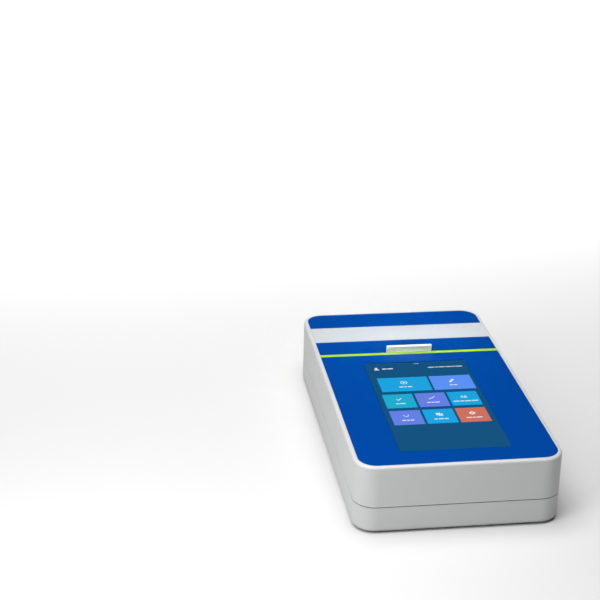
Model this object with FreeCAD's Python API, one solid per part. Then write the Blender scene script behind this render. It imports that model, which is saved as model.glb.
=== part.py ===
import FreeCAD, Part
import math
import os

# Bench fluorometer, lying flat as in use.
# Millimetres. X to the user's right, Y towards the hinge at the back, Z up.
# The origin is the middle of the footprint, raised end of the rocker included, on the bench.

# Housing
housing_width = 160.0
housing_length = 284.0
housing_height = 54.5
lower_shell_height = 21.2
corner_radius = 17.0
wall = 2.5
top_edge_radius = 2.0
bottom_edge_radius = 3.0
seam_groove_height = 0.7
seam_groove_depth = 0.6
tongue_height = 1.8
tongue_thickness = 1.05
tongue_clearance = 0.3
tongue_end_room = 0.2
seam_edge = 0.3

# Feet
foot_radius = 6.0
foot_proud = 1.5
foot_recess = 1.0
foot_clearance = 0.3
foot_inset_x = 20.0
foot_inset_y = 32.0

# Case screws
case_screw_inset = 14.0
case_screw_inset_y = 16.0
case_screw_radius = 1.5
case_screw_length = 22.0
case_screw_head_radius = 2.75
case_screw_head_height = 2.0
case_screw_seat = 7.5
case_boss_radius = 4.2
screw_clearance = 0.2
screw_grip_clearance = 0.02

# Front panel, touch glass and green strip
panel_rim = 3.2
panel_thickness = 1.5
panel_gap = 0.15
panel_seat_thickness = 2.2
front_panel_share = 0.66869
strip_width = 4.1
strip_gap = 0.1
screen_front_margin = 19.8
screen_rear_margin = 15.9
screen_side_margin = 37.05
screen_border = 0.4

# Display module
module_end_border = 5.4
module_side_border = 7.05
module_depth = 5.6
module_clearance = 0.3
lcd_thickness = 2.0
lcd_border = 1.2
module_front_gap = 0.1
bracket_width = 12.0
bracket_thickness = 1.2
bracket_reach = 3.0
bracket_foot = 9.0
bracket_inset = 30.0
bracket_screw_radius = 1.2
bracket_screw_head_radius = 2.2
bracket_screw_head_height = 1.2
bracket_boss_radius = 3.0
bracket_screw_length = 4.5
bracket_screw_depth = 1.2

# Lid
lid_gap = 0.5
lid_skirt = 8.5
lid_wall = 1.8
lid_plate_thickness = 2.0
shelf_thickness = 2.5
bulkhead_thickness = 2.5

# White band on the lid
band_front = 29.4
band_width = 29.8
band_depth = 0.4

# Hinge
flap_side_margin = 28.0
flap_depth = 20.0
flap_corner_radius = 1.8
barrel_radius = 4.0
barrel_gap = 0.5
pin_radius = 1.5
pin_inner_length = 8.0
pin_cheek_length = 8.0
pin_end_room = 1.0
bush_outer_radius = 2.3
bush_length = 6.0
bush_inset = 1.0
running_clearance = 0.05
pocket_wall = 2.2
rear_relief_depth = 0.8
rear_relief_width = 2.0
lip_chamfer = 0.6

# Handle on the lid
handle_width = 38.8
handle_height = 6.0
handle_front_rise = 0.8
handle_lip = 3.2
handle_lip_thickness = 0.95
handle_under_fall = 0.9
handle_base_depth = 2.4
handle_lean = 1.2
handle_wall_lean = 0.5
handle_front_corner_radius = 2.4
handle_rear_corner_radius = 0.9
handle_cheek = 1.3
handle_edge_radius = 0.45
handle_peg_radius = 0.8
handle_peg_spacing = 13.0
handle_strip_gap = 0.3

# Lid liner, magnets and light seal
liner_thickness = 1.5
liner_gap = 0.4
liner_rise = 0.4
liner_hinge_gap = 0.6
liner_screw_radius = 1.0
liner_screw_head_radius = 1.9
liner_screw_head_height = 0.9
liner_screw_length = 4.0
liner_boss_radius = 2.6
liner_screw_inset_x = 11.0
liner_screw_inset_front = 18.0
liner_screw_inset_rear = 16.0
magnet_radius = 4.0
magnet_thickness = 3.0
magnet_boss_wall = 1.4
magnet_inset_x = 18.0
magnet_inset_y = 8.0
catch_plate_radius = 5.0
catch_plate_thickness = 0.8
seal_inner_radius = 6.2
seal_outer_radius = 12.0
seal_clearance = 0.35
seal_edge = 0.4

# Sample deck
deck_side_margin = 30.0
deck_rear_offset = 16.6
deck_front_offset = 7.6
deck_flange_thickness = 1.2
deck_flange_width = 2.5
deck_corner_radius = 7.0
deck_recess = 6.0
deck_wall = 1.6
deck_draft = 2.0
deck_clearance = 0.3
collar_radius = 13.0
collar_draft = 2.0
collar_drop = 2.0

# Tube well
well_flange_radius = 9.5
well_flange_thickness = 1.0
well_sleeve_radius = 6.5
well_bore_radius = 4.05
well_straight_depth = 16.0
well_total_depth = 28.0
well_tip_radius = 1.6
well_floor = 1.5
well_lead_in = 0.8
well_window_radius = 2.0
well_window_height = 6.0

# Optics block
optics_width = 48.0
optics_length = 36.0
optics_deck_gap = 0.5
optics_bore_clearance = 0.3
optics_floor = 1.5
optics_well_room = 1.9
light_bore_radius = 2.5
filter_radius = 4.0
filter_thickness = 2.0
filter_depth = 9.0
led_radius = 2.5
led_length = 5.0
led_board_thickness = 1.6
led_board_size = 15.0
lens_radius = 6.0
lens_thickness = 3.0
lens_depth = 8.0
lens_bulge = 1.2
photodiode_size = 5.0
photodiode_thickness = 1.5
optics_screw_inset = 5.5
optics_screw_radius = 1.5
optics_screw_head_radius = 2.7
optics_screw_head_height = 2.0
optics_screw_sink = 3.0
optics_screw_grip = 5.0
seat_clearance = 0.03

# Boards
board_thickness = 1.6
main_board_rise = 8.0
main_board_side_gap = 18.0
main_board_front = 30.0
main_board_optics_gap = 30.4
standoff_radius = 3.0
board_screw_radius = 1.25
board_screw_head_radius = 2.3
board_screw_head_height = 1.6
board_screw_length = 6.5
board_screw_inset = 5.0
power_board_width = 28.0
power_board_gap = 1.0
power_board_screw_inset = 4.0
power_board_length = 24.0
sensor_board_width = 12.0
sensor_board_length = 10.0
sensor_board_thickness = 1.2
sensor_chip_size = 3.0
sensor_chip_thickness = 1.0

# Power socket
jack_side_margin = 36.4
jack_axis_height = 14.7
jack_hole_radius = 4.8
jack_nose_radius = 4.5
jack_nose_recess = 0.6
jack_bore_radius = 3.1
jack_bore_depth = 9.5
jack_pin_radius = 1.0
jack_pin_recess = 1.0
jack_body_width = 9.4
jack_body_height = 11.0
jack_body_depth = 14.0
jack_body_below_axis = 6.5

# Rocker switch
switch_side_margin = 29.7
switch_axis_height = 15.6
switch_bezel_width = 15.6
switch_bezel_height = 10.6
switch_bezel_thickness = 1.6
switch_bezel_radius = 1.2
switch_body_width = 14.2
switch_body_height = 9.0
switch_body_depth = 13.0
switch_cutout_clearance = 0.15
rocker_half_width = 5.3
rocker_height = 7.0
rocker_side_gap = 0.25
rocker_end_room = 1.3
rocker_tilt = 12.0
rocker_pivot_depth = 2.5
rocker_crown = 4.2
rocker_keel = 3.0
rocker_pivot_radius = 0.8
rocker_pivot_length = 0.55
rocker_pivot_room = 0.1
rocker_well_depth = 8.5
terminal_width = 2.0
terminal_thickness = 0.6
terminal_length = 5.0
terminal_spacing = 7.0
lead_radius = 0.8
lead_bend_radius = 8.0
lead_shift = 9.0
lead_straight = 20.0

chip_unit = 3.0
chip_height = 1.4
chip_layout = [
    (-0.55, -0.66, 4.0, 4.0),
    (-0.55, -0.41, 3.0, 2.0),
    (-0.19, -0.61, 4.0, 3.0),
    (0.8, 0.51, 3.0, 3.0),
    (0.78, -0.56, 2.0, 2.0),
    (-0.58, 0.56, 2.0, 2.0),
]
can_across = 0.42
can_ribbon_gap = 4.0
can_size = 36.0
can_height = 3.5
can_edge_radius = 0.6
buzzer_across = -0.65
buzzer_along = 0.24
buzzer_radius = 6.0
buzzer_height = 7.5
buzzer_hole_radius = 1.2
buzzer_hole_depth = 1.5
connector_depth = 7.0
connector_margin = 1.6
display_connector_across = 0.32
display_connector_along = -0.38

ribbon_thickness = 0.3
ribbon_width = 20.0
ribbon_bend_radius = 4.0
ribbon_run = 14.0
ribbon_overlap = 22.0
connector_height = 4.0

# How far a cutting shape runs past the face it cuts, and a joined one into its neighbour
past = 1.0
sunk = 0.5

# Heights and edges worked out from the sizes above
bottom_z = foot_proud
top_z = bottom_z + housing_height
seam_z = bottom_z + lower_shell_height
floor_z = bottom_z + wall
half_width = housing_width / 2.0
half_length = housing_length / 2.0
rear_y = half_length
front_y = -half_length
panel_front_y = front_y + panel_rim
panel_half_width = half_width - panel_rim
front_panel_length = housing_length * front_panel_share
screen_length = front_panel_length - screen_front_margin - screen_rear_margin
screen_width = housing_width - screen_side_margin * 2.0
module_length = screen_length + module_end_border * 2.0
module_width = screen_width + module_side_border * 2.0
flap_width = housing_width - flap_side_margin * 2.0
deck_width = housing_width - deck_side_margin * 2.0
main_board_width = housing_width - main_board_side_gap * 2.0
jack_offset_x = half_width - jack_side_margin
switch_offset_x = switch_side_margin - half_width
panel_seat_z = top_z - panel_thickness
strip_front_y = panel_front_y + front_panel_length + strip_gap
strip_rear_y = strip_front_y + strip_width
lid_front_y = strip_rear_y + lid_gap
lid_bottom_z = top_z - lid_skirt
shelf_z = lid_bottom_z - lid_gap
shelf_under_z = shelf_z - shelf_thickness
plate_under_z = panel_seat_z - panel_seat_thickness
lid_plate_under_z = panel_seat_z - lid_plate_thickness
flap_bottom_z = top_z - flap_depth
pivot_y = rear_y - barrel_radius
pivot_z = flap_bottom_z + barrel_radius
flap_half = flap_width / 2.0
pocket_half = flap_half + barrel_gap
screen_centre_y = panel_front_y + screen_front_margin + screen_length / 2.0
liner_z = lid_bottom_z + liner_rise
liner_top_z = liner_z + liner_thickness
deck_front_y = lid_front_y + deck_front_offset
deck_rear_y = rear_y - deck_rear_offset
well_y = (deck_front_y + deck_rear_y) / 2.0
deck_floor_z = shelf_z - deck_recess
board_z = floor_z + main_board_rise


def vector(x, y, z):
    return FreeCAD.Vector(x, y, z)


def box(x0, x1, y0, y1, z0, z1):
    return Part.makeBox(x1 - x0, y1 - y0, z1 - z0, vector(x0, y0, z0))


def rod(radius, start, end):
    axis = end.sub(start)
    return Part.makeCylinder(radius, axis.Length, start, axis)


def outline(x0, x1, y0, y1, z, front_radius, rear_radius):
    """Closed rectangle at height z with round corners, front and rear radii apart."""
    corners = [
        (x0, y0, 180.0, front_radius),
        (x1, y0, 270.0, front_radius),
        (x1, y1, 0.0, rear_radius),
        (x0, y1, 90.0, rear_radius),
    ]
    stops = []
    arcs = []
    for x, y, start, radius in corners:
        side_x = 1.0 if x == x0 else -1.0
        side_y = 1.0 if y == y0 else -1.0
        centre = vector(x + side_x * radius, y + side_y * radius, z)
        if radius <= 0.0:
            stops.append((centre, centre))
            arcs.append(None)
            continue
        points = []
        for turn in (0.0, 45.0, 90.0):
            angle = math.radians(start + turn)
            points.append(centre + vector(radius * math.cos(angle), radius * math.sin(angle), 0))
        stops.append((points[0], points[2]))
        arcs.append(Part.Arc(points[0], points[1], points[2]).toShape())
    edges = []
    for index, arc in enumerate(arcs):
        if arc is not None:
            edges.append(arc)
        start = stops[index][1]
        end = stops[(index + 1) % len(arcs)][0]
        if start.distanceToPoint(end) > 1e-6:
            edges.append(Part.LineSegment(start, end).toShape())
    return Part.Wire(edges)


def plate(x0, x1, y0, y1, z0, z1, front_radius=0.0, rear_radius=0.0):
    wire = outline(x0, x1, y0, y1, z0, front_radius, rear_radius)
    return Part.Face(wire).extrude(vector(0, 0, z1 - z0))


def housing_slab(inset, z0, z1):
    """The housing's plan outline, drawn in by inset, between two heights."""
    radius = corner_radius - inset
    return plate(
        -half_width + inset, half_width - inset,
        front_y + inset, rear_y - inset,
        z0, z1, radius, radius,
    )


def level_edges(shape, z):
    return [
        edge for edge in shape.Edges
        if all(abs(vertex.Z - z) < 1e-4 for vertex in edge.Vertexes)
        and abs(edge.CenterOfMass.z - z) < 1e-4
    ]


def polygon_face(points):
    return Part.Face(Part.makePolygon(points + [points[0]]))


def fused(shapes):
    result = shapes[0]
    for shape in shapes[1:]:
        result = result.fuse(shape)
    return result.removeSplitter()


def write(name, shape):
    """Write one node, moved so that the origin is the middle of the whole footprint."""
    shape = shape.copy()
    shape.translate(vector(0, -rear_overhang / 2.0, 0))
    if not shape.isValid():
        print("not valid", name)
    if not shape.Solids:
        print("no solid in", name)
    shape.exportStep("parts/" + name + ".step")


def write_group(name, shapes):
    write(name, Part.makeCompound(shapes))


def seam_bevel(z, step):
    """Ring that bevels the housing's outer edge at height z, on the side that step points to."""
    far = z + step * seam_edge
    low, high = min(z, far), max(z, far)
    ring = housing_slab(-past, low, high)
    keep = []
    for inset, level in ((seam_edge, z), (0.0, far)):
        radius = corner_radius - inset
        keep.append(outline(
            -half_width + inset, half_width - inset, front_y + inset, rear_y - inset,
            level, radius, radius))
    return ring.cut(Part.makeLoft(keep, True, True))


def housing_block():
    """The whole housing as one block with its rounded top and bottom edges."""
    block = housing_slab(0.0, bottom_z, top_z)
    block = block.makeFillet(bottom_edge_radius, level_edges(block, bottom_z))
    return block.makeFillet(top_edge_radius, level_edges(block, top_z))


def case_screw_places():
    x = half_width - case_screw_inset
    y = half_length - case_screw_inset_y
    return [(-x, -y), (x, -y), (x, y), (-x, y)]


def foot_places():
    x = half_width - foot_inset_x
    y = half_length - foot_inset_y
    return [(-x, -y), (x, -y), (x, y), (-x, y)]


def main_board_edges():
    half = main_board_width / 2.0
    return -half, half, front_y + main_board_front, optics_edges()[2] - main_board_optics_gap


def main_board_screw_places():
    x0, x1, y0, y1 = main_board_edges()
    inset = board_screw_inset
    middle = (y0 + y1) / 2.0
    return [(x, y) for x in (x0 + inset, x1 - inset) for y in (y0 + inset, middle, y1 - inset)]


def power_board_edges():
    x0 = jack_offset_x - power_board_width / 2.0
    y1 = rear_y - wall - power_board_gap
    return x0, x0 + power_board_width, y1 - power_board_length, y1


def power_board_z():
    return jack_axis_height - jack_body_below_axis - board_thickness


def power_board_screw_places():
    x0, x1, y0, y1 = power_board_edges()
    inset = power_board_screw_inset
    return [(x0 + inset, y0 + inset), (x1 - inset, y0 + inset)]


def optics_edges():
    return (
        -optics_width / 2.0, optics_width / 2.0,
        well_y - optics_length / 2.0, well_y + optics_length / 2.0,
    )


def well_bottom_z():
    return well_flange_top_z() - well_total_depth - well_floor


def optics_bottom_z():
    return well_bottom_z() - optics_well_room - optics_floor


def optics_top_z():
    return deck_floor_z - deck_wall - optics_deck_gap


def optics_screw_places():
    x0, x1, y0, y1 = optics_edges()
    inset = optics_screw_inset
    return [(x, y) for x in (x0 + inset, x1 - inset) for y in (y0 + inset, y1 - inset)]


def bottom_shell(block):
    shell = block.common(box(-half_width, half_width, front_y, rear_y, bottom_z, seam_z))
    hollow = housing_slab(wall, floor_z, seam_z + past)
    shell = shell.cut(hollow)
    tongue = housing_slab(wall - tongue_thickness, seam_z - wall, seam_z + tongue_height)
    tongue = tongue.cut(housing_slab(wall, seam_z - wall - past, seam_z + tongue_height + past))
    groove = housing_slab(-past, seam_z - seam_groove_height, seam_z + past)
    groove = groove.cut(housing_slab(
        seam_groove_depth, seam_z - seam_groove_height - past, seam_z + past * 2.0))
    shell = shell.cut(groove)
    added = [tongue]
    for x, y in case_screw_places():
        added.append(rod(case_boss_radius, vector(x, y, bottom_z + wall / 2.0), vector(x, y, seam_z)))
    for x, y in main_board_screw_places():
        added.append(rod(standoff_radius, vector(x, y, floor_z - sunk), vector(x, y, board_z)))
    for x, y in power_board_screw_places():
        added.append(rod(standoff_radius, vector(x, y, floor_z - sunk), vector(x, y, power_board_z())))
    for x, y in optics_screw_places():
        added.append(rod(case_boss_radius, vector(x, y, floor_z - sunk), vector(x, y, optics_bottom_z())))
    shell = fused([shell] + added)
    cuts = []
    for x, y in case_screw_places():
        cuts.append(rod(
            case_screw_head_radius + screw_clearance * 2.0,
            vector(x, y, bottom_z - past), vector(x, y, bottom_z + case_screw_seat)))
        cuts.append(rod(
            case_screw_radius + screw_clearance,
            vector(x, y, bottom_z), vector(x, y, seam_z + past)))
    for x, y in main_board_screw_places():
        cuts.append(rod(
            board_screw_radius + screw_grip_clearance,
            vector(x, y, board_z - board_screw_length), vector(x, y, board_z + past)))
    for x, y in power_board_screw_places():
        cuts.append(rod(
            board_screw_radius + screw_grip_clearance,
            vector(x, y, floor_z), vector(x, y, power_board_z() + past)))
    for x, y in optics_screw_places():
        cuts.append(rod(
            optics_screw_radius + screw_grip_clearance,
            vector(x, y, optics_bottom_z() - optics_screw_grip - sunk),
            vector(x, y, optics_bottom_z() + past)))
    for x, y in foot_places():
        cuts.append(rod(
            foot_radius + foot_clearance,
            vector(x, y, bottom_z - past), vector(x, y, bottom_z + foot_recess)))
    cuts.append(rod(
        jack_hole_radius,
        vector(jack_offset_x, rear_y - wall - past, jack_axis_height),
        vector(jack_offset_x, rear_y + past, jack_axis_height)))
    half_x = switch_body_width / 2.0 + switch_cutout_clearance
    half_z = switch_body_height / 2.0 + switch_cutout_clearance
    cuts.append(box(
        switch_offset_x - half_x, switch_offset_x + half_x,
        rear_y - wall - past, rear_y + past,
        switch_axis_height - half_z, switch_axis_height + half_z))
    return shell.cut(cuts)


def pocket_block():
    """Thickened stretch of the rear wall that carries the hinge."""
    half = pocket_half + pin_cheek_length
    front = pivot_y - barrel_radius - barrel_gap - pocket_wall
    bottom = flap_bottom_z - barrel_gap - pocket_wall
    block = box(-half, half, front, rear_y, bottom, shelf_z)
    return block


def pocket_cut():
    """Room for the lid's hinge flap in the rear wall."""
    reach = barrel_radius + barrel_gap
    side = pocket_half
    barrel = rod(reach, vector(-side, pivot_y, pivot_z), vector(side, pivot_y, pivot_z))
    upper = box(-side, side, pivot_y - reach, rear_y + past, pivot_z, shelf_z + past)
    lower = box(-side, side, pivot_y, rear_y + past, pivot_z - reach, pivot_z + past)
    return fused([barrel, upper, lower])


def flap_outline(y):
    """Outline of the hinge flap seen from behind, with its lower corners rounded."""
    half = flap_half
    low = flap_bottom_z
    high = top_z + past * 2.0
    radius = flap_corner_radius
    k = radius * (1.0 - math.sqrt(0.5))
    edges = [
        Part.LineSegment(vector(-half, y, high), vector(-half, y, low + radius)).toShape(),
        Part.Arc(
            vector(-half, y, low + radius),
            vector(-half + k, y, low + k),
            vector(-half + radius, y, low)).toShape(),
        Part.LineSegment(vector(-half + radius, y, low), vector(half - radius, y, low)).toShape(),
        Part.Arc(
            vector(half - radius, y, low),
            vector(half - k, y, low + k),
            vector(half, y, low + radius)).toShape(),
        Part.LineSegment(vector(half, y, low + radius), vector(half, y, high)).toShape(),
        Part.LineSegment(vector(half, y, high), vector(-half, y, high)).toShape(),
    ]
    return Part.Wire(edges)


def module_edges(grow):
    half_x = module_width / 2.0 + grow
    half_y = module_length / 2.0 + grow
    return -half_x, half_x, screen_centre_y - half_y, screen_centre_y + half_y


def bracket_screw_places():
    """Screws of the four clips that hold the display against the glass."""
    places = []
    for side in (-1.0, 1.0):
        x = side * (module_width / 2.0 + bracket_foot / 2.0 + module_clearance)
        for end in (-1.0, 1.0):
            y = screen_centre_y + end * (module_length / 2.0 - bracket_inset)
            places.append((x, y, side))
    return places


def magnet_places():
    x = half_width - magnet_inset_x
    y = lid_front_y + lid_wall + magnet_inset_y
    return [(-x, y), (x, y)]


def top_shell(block):
    shell = block.common(box(-half_width, half_width, front_y, rear_y, seam_z, top_z))
    bulkhead_y = strip_rear_y - bulkhead_thickness
    hollow = housing_slab(wall, seam_z - past, plate_under_z)
    front_hollow = hollow.common(box(-half_width, half_width, front_y, bulkhead_y, 0.0, top_z))
    rear_hollow = housing_slab(wall, seam_z - past, shelf_under_z)
    rear_hollow = rear_hollow.common(box(-half_width, half_width, bulkhead_y, rear_y, 0.0, top_z))
    lid_room = box(
        -half_width - past, half_width + past, strip_rear_y, rear_y + past, shelf_z, top_z + past)
    shell = shell.cut([front_hollow, rear_hollow, lid_room])
    tongue_room = housing_slab(
        wall - tongue_thickness - tongue_clearance, seam_z - past, seam_z + tongue_height + tongue_end_room)
    shell = shell.cut(tongue_room.cut(housing_slab(wall + past, seam_z - past * 2.0, seam_z + wall * 2.0)))
    added = [pocket_block()]
    for x, y in case_screw_places():
        high = plate_under_z if y < 0 else shelf_under_z
        added.append(rod(case_boss_radius, vector(x, y, seam_z), vector(x, y, high + sunk)))
    for x, y, side in bracket_screw_places():
        seat = module_back_z() + bracket_thickness
        added.append(rod(bracket_boss_radius, vector(x, y, seat), vector(x, y, plate_under_z + sunk)))
    shell = fused([shell] + added)
    cuts = [pocket_cut()]
    panel_radius = corner_radius - panel_rim
    cuts.append(plate(
        -panel_half_width, panel_half_width, panel_front_y, strip_rear_y + past,
        panel_seat_z, top_z + past, panel_radius, 0.0))
    x0, x1, y0, y1 = module_edges(module_clearance)
    cuts.append(box(x0, x1, y0, y1, plate_under_z - past, panel_seat_z + past))
    for x, y in case_screw_places():
        tip = bottom_z + case_screw_seat + case_screw_length
        cuts.append(rod(
            case_screw_radius + screw_grip_clearance,
            vector(x, y, seam_z - past), vector(x, y, tip + past)))
    for x, y, side in bracket_screw_places():
        cuts.append(rod(
            bracket_screw_radius + screw_grip_clearance,
            vector(x, y, plate_under_z - bracket_screw_length),
            vector(x, y, plate_under_z + bracket_screw_depth)))
    for side in (-1.0, 1.0):
        cuts.append(rod(
            pin_radius + screw_grip_clearance,
            vector(side * (pocket_half - past), pivot_y, pivot_z),
            vector(side * (pocket_half + pin_cheek_length + past), pivot_y, pivot_z)))
    for x, y in magnet_places():
        cuts.append(rod(
            catch_plate_radius + foot_clearance,
            vector(x, y, shelf_z - catch_plate_thickness), vector(x, y, shelf_z + past)))
    cuts.append(deck_opening())
    cuts.append(rear_relief())
    cuts.append(seam_bevel(shelf_z, -1.0).common(box(
        -half_width - past, half_width + past, strip_rear_y, rear_y + past, 0.0, top_z)))
    cuts.append(lip_relief())
    return shell.cut(cuts)


def deck_opening():
    """Rebate and opening in the shelf for the sample deck."""
    half = deck_width / 2.0 + deck_clearance
    y0 = deck_front_y - deck_clearance
    y1 = deck_rear_y + deck_clearance
    radius = deck_corner_radius + deck_clearance
    rebate = plate(-half, half, y0, y1, shelf_z - deck_flange_thickness, shelf_z + past, radius, radius)
    inner = deck_flange_width
    hole = plate(
        -half + inner, half - inner, y0 + inner, y1 - inner,
        shelf_under_z - past, shelf_z + past, radius - inner, radius - inner)
    return rebate.fuse(hole)


def rear_relief():
    """Slope on the rear rim that clears the lid's skirt as it swings back."""
    y0 = rear_y - rear_relief_width
    z = shelf_z
    slope = rear_relief_depth / rear_relief_width
    face = polygon_face([
        vector(-half_width, y0, z),
        vector(-half_width, rear_y + past, z - rear_relief_depth - past * slope),
        vector(-half_width, rear_y + past, z + past),
        vector(-half_width, y0, z + past),
    ])
    return face.extrude(vector(housing_width, 0, 0))


def lip_relief():
    """Chamfer under the flap that lets the lid swing past upright."""
    low = flap_bottom_z - barrel_gap
    face = polygon_face([
        vector(-pocket_half, rear_y - lip_chamfer, low),
        vector(-pocket_half, rear_y, low - lip_chamfer),
        vector(-pocket_half, rear_y + past, low - lip_chamfer),
        vector(-pocket_half, rear_y + past, low + past),
        vector(-pocket_half, rear_y - lip_chamfer, low + past),
    ])
    return face.extrude(vector(pocket_half * 2.0, 0, 0))


def front_panel():
    gap = panel_gap
    radius = corner_radius - panel_rim - gap
    sheet = plate(
        -panel_half_width + gap, panel_half_width - gap,
        panel_front_y + gap, panel_front_y + front_panel_length,
        panel_seat_z, top_z, radius, 0.0)
    half_x = screen_width / 2.0 + screen_border
    half_y = screen_length / 2.0 + screen_border
    window = box(
        -half_x, half_x, screen_centre_y - half_y, screen_centre_y + half_y,
        panel_seat_z - past, top_z + past)
    return sheet.cut(window)


def touch_glass():
    half_x = screen_width / 2.0 + screen_border - panel_gap
    half_y = screen_length / 2.0 + screen_border - panel_gap
    return box(
        -half_x, half_x, screen_centre_y - half_y, screen_centre_y + half_y,
        panel_seat_z, top_z)


def accent_strip():
    half = panel_half_width - panel_gap
    return box(-half, half, strip_front_y, strip_rear_y, panel_seat_z, top_z)


def module_front_z():
    return panel_seat_z - module_front_gap


def module_back_z():
    return module_front_z() - module_depth


def lcd_edges(grow):
    half_x = screen_width / 2.0 + lcd_border + grow
    half_y = screen_length / 2.0 + lcd_border + grow
    return -half_x, half_x, screen_centre_y - half_y, screen_centre_y + half_y


def display_frame():
    x0, x1, y0, y1 = module_edges(0.0)
    frame = box(x0, x1, y0, y1, module_back_z(), module_front_z())
    a0, a1, b0, b1 = lcd_edges(panel_gap)
    tray = box(a0, a1, b0, b1, module_front_z() - lcd_thickness, module_front_z() + past)
    return frame.cut(tray)


def lcd_panel():
    x0, x1, y0, y1 = lcd_edges(0.0)
    return box(x0, x1, y0, y1, module_front_z() - lcd_thickness, module_front_z())


def display_brackets():
    clips = []
    z1 = module_back_z() + bracket_thickness
    for x, y, side in bracket_screw_places():
        outer = x + side * bracket_foot / 2.0
        inner = side * (module_width / 2.0 + module_clearance)
        tip = side * (module_width / 2.0 - bracket_reach)
        half = bracket_width / 2.0
        foot = box(min(inner, outer), max(inner, outer), y - half, y + half, module_back_z(), z1)
        finger = box(
            min(tip, inner), max(tip, inner), y - half, y + half,
            module_back_z() - bracket_thickness, module_back_z())
        web = box(
            min(inner, inner + side * bracket_thickness),
            max(inner, inner + side * bracket_thickness),
            y - half, y + half, module_back_z() - bracket_thickness, z1)
        clip = fused([foot, finger, web])
        hole = rod(
            bracket_screw_radius + screw_clearance,
            vector(x, y, module_back_z() - past), vector(x, y, z1 + past))
        clips.append(clip.cut(hole))
    return clips


def pan_screw(x, y, seat_z, direction, radius, length, head_radius, head_height):
    """Screw whose head sits on seat_z, its shank running along direction (1 up, -1 down)."""
    seat = vector(x, y, seat_z)
    shank = rod(radius, seat, vector(x, y, seat_z + direction * length))
    head = rod(head_radius, vector(x, y, seat_z - direction * head_height), seat)
    slot = box(
        x - head_radius, x + head_radius, y - head_radius * 0.16, y + head_radius * 0.16,
        min(seat_z - direction * head_height, seat_z - direction * head_height * 0.6),
        max(seat_z - direction * head_height, seat_z - direction * head_height * 0.6))
    return head.fuse(shank).cut(slot)


def rubber_feet():
    feet = []
    for x, y in foot_places():
        foot = rod(foot_radius, vector(x, y, 0.0), vector(x, y, bottom_z + foot_recess))
        feet.append(foot.makeFillet(0.5, level_edges(foot, 0.0)))
    return feet


def case_screws():
    return [
        pan_screw(
            x, y, bottom_z + case_screw_seat, 1.0,
            case_screw_radius, case_screw_length, case_screw_head_radius, case_screw_head_height)
        for x, y in case_screw_places()
    ]


def lid_shell(block):
    lid = block.common(box(-half_width, half_width, lid_front_y, rear_y, lid_bottom_z, top_z))
    hollow = housing_slab(lid_wall, lid_bottom_z - past, lid_plate_under_z)
    hollow = hollow.common(box(
        -half_width, half_width, lid_front_y + lid_wall, rear_y, 0.0, top_z))
    lid = lid.cut(hollow)
    flap = box(-flap_half, flap_half, pivot_y, rear_y, pivot_z, lid_plate_under_z + sunk)
    barrel = rod(
        barrel_radius, vector(-flap_half, pivot_y, pivot_z), vector(flap_half, pivot_y, pivot_z))
    flap = fused([flap, barrel])
    frame = Part.Face(flap_outline(pivot_y - barrel_radius - past))
    flap = flap.common(frame.extrude(vector(0, (barrel_radius + past) * 2.0, 0)))
    added = [flap]
    for x, y in magnet_places():
        added.append(rod(
            magnet_radius + magnet_boss_wall,
            vector(x, y, liner_top_z), vector(x, y, lid_plate_under_z + sunk)))
    for x, y in liner_screw_places():
        added.append(rod(
            liner_boss_radius, vector(x, y, liner_top_z), vector(x, y, lid_plate_under_z + sunk)))
    lid = fused([lid] + added)
    panel_radius = corner_radius - panel_rim
    cuts = [plate(
        -panel_half_width, panel_half_width, lid_front_y - past, rear_y - panel_rim,
        panel_seat_z, top_z + past, 0.0, panel_radius)]
    for side in (-1.0, 1.0):
        end = vector(side * (flap_half + past), pivot_y, pivot_z)
        cuts.append(rod(
            bush_outer_radius + seat_clearance, end,
            vector(side * (flap_half - bush_inset - bush_length), pivot_y, pivot_z)))
        cuts.append(rod(
            pin_radius + running_clearance, end,
            vector(side * (flap_half - pin_inner_length), pivot_y, pivot_z)))
    for x, y in magnet_places():
        cuts.append(rod(
            magnet_radius + seat_clearance,
            vector(x, y, liner_top_z - past), vector(x, y, liner_top_z + magnet_thickness)))
    for x, y in liner_screw_places():
        cuts.append(rod(
            liner_screw_radius + screw_grip_clearance,
            vector(x, y, liner_top_z - past), vector(x, y, liner_top_z + liner_screw_length)))
    cuts.append(seam_bevel(lid_bottom_z, 1.0).cut(box(
        -flap_half, flap_half, pivot_y, rear_y + past * 2.0, 0.0, top_z)))
    for x in handle_peg_places():
        cuts.append(rod(
            handle_peg_radius + seat_clearance,
            vector(x, handle_peg_y(), lid_plate_under_z - past), vector(x, handle_peg_y(), top_z)))
    return lid.cut(cuts)


def liner_edges():
    x = half_width - lid_wall - liner_gap
    return -x, x, lid_front_y + lid_wall + liner_gap, pivot_y - liner_hinge_gap


def liner_screw_places():
    x0, x1, y0, y1 = liner_edges()
    places = []
    for x in (x0 + liner_screw_inset_x, x1 - liner_screw_inset_x):
        places.append((x, y0 + liner_screw_inset_front))
        places.append((x, y1 - liner_screw_inset_rear))
    return places


def lid_liner():
    x0, x1, y0, y1 = liner_edges()
    radius = corner_radius - lid_wall - liner_gap
    liner = plate(x0, x1, y0, y1, liner_z, liner_top_z, 2.0, radius)
    holes = []
    for x, y in liner_screw_places():
        holes.append(rod(
            liner_screw_radius + screw_clearance,
            vector(x, y, liner_z - past), vector(x, y, liner_top_z + past)))
        holes.append(rod(
            liner_screw_head_radius + screw_clearance,
            vector(x, y, liner_z - past), vector(x, y, liner_z + liner_screw_head_height)))
    return liner.cut(holes)


def liner_screws():
    return [
        pan_screw(
            x, y, liner_z + liner_screw_head_height, 1.0,
            liner_screw_radius, liner_screw_length, liner_screw_head_radius, liner_screw_head_height)
        for x, y in liner_screw_places()
    ]


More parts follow.
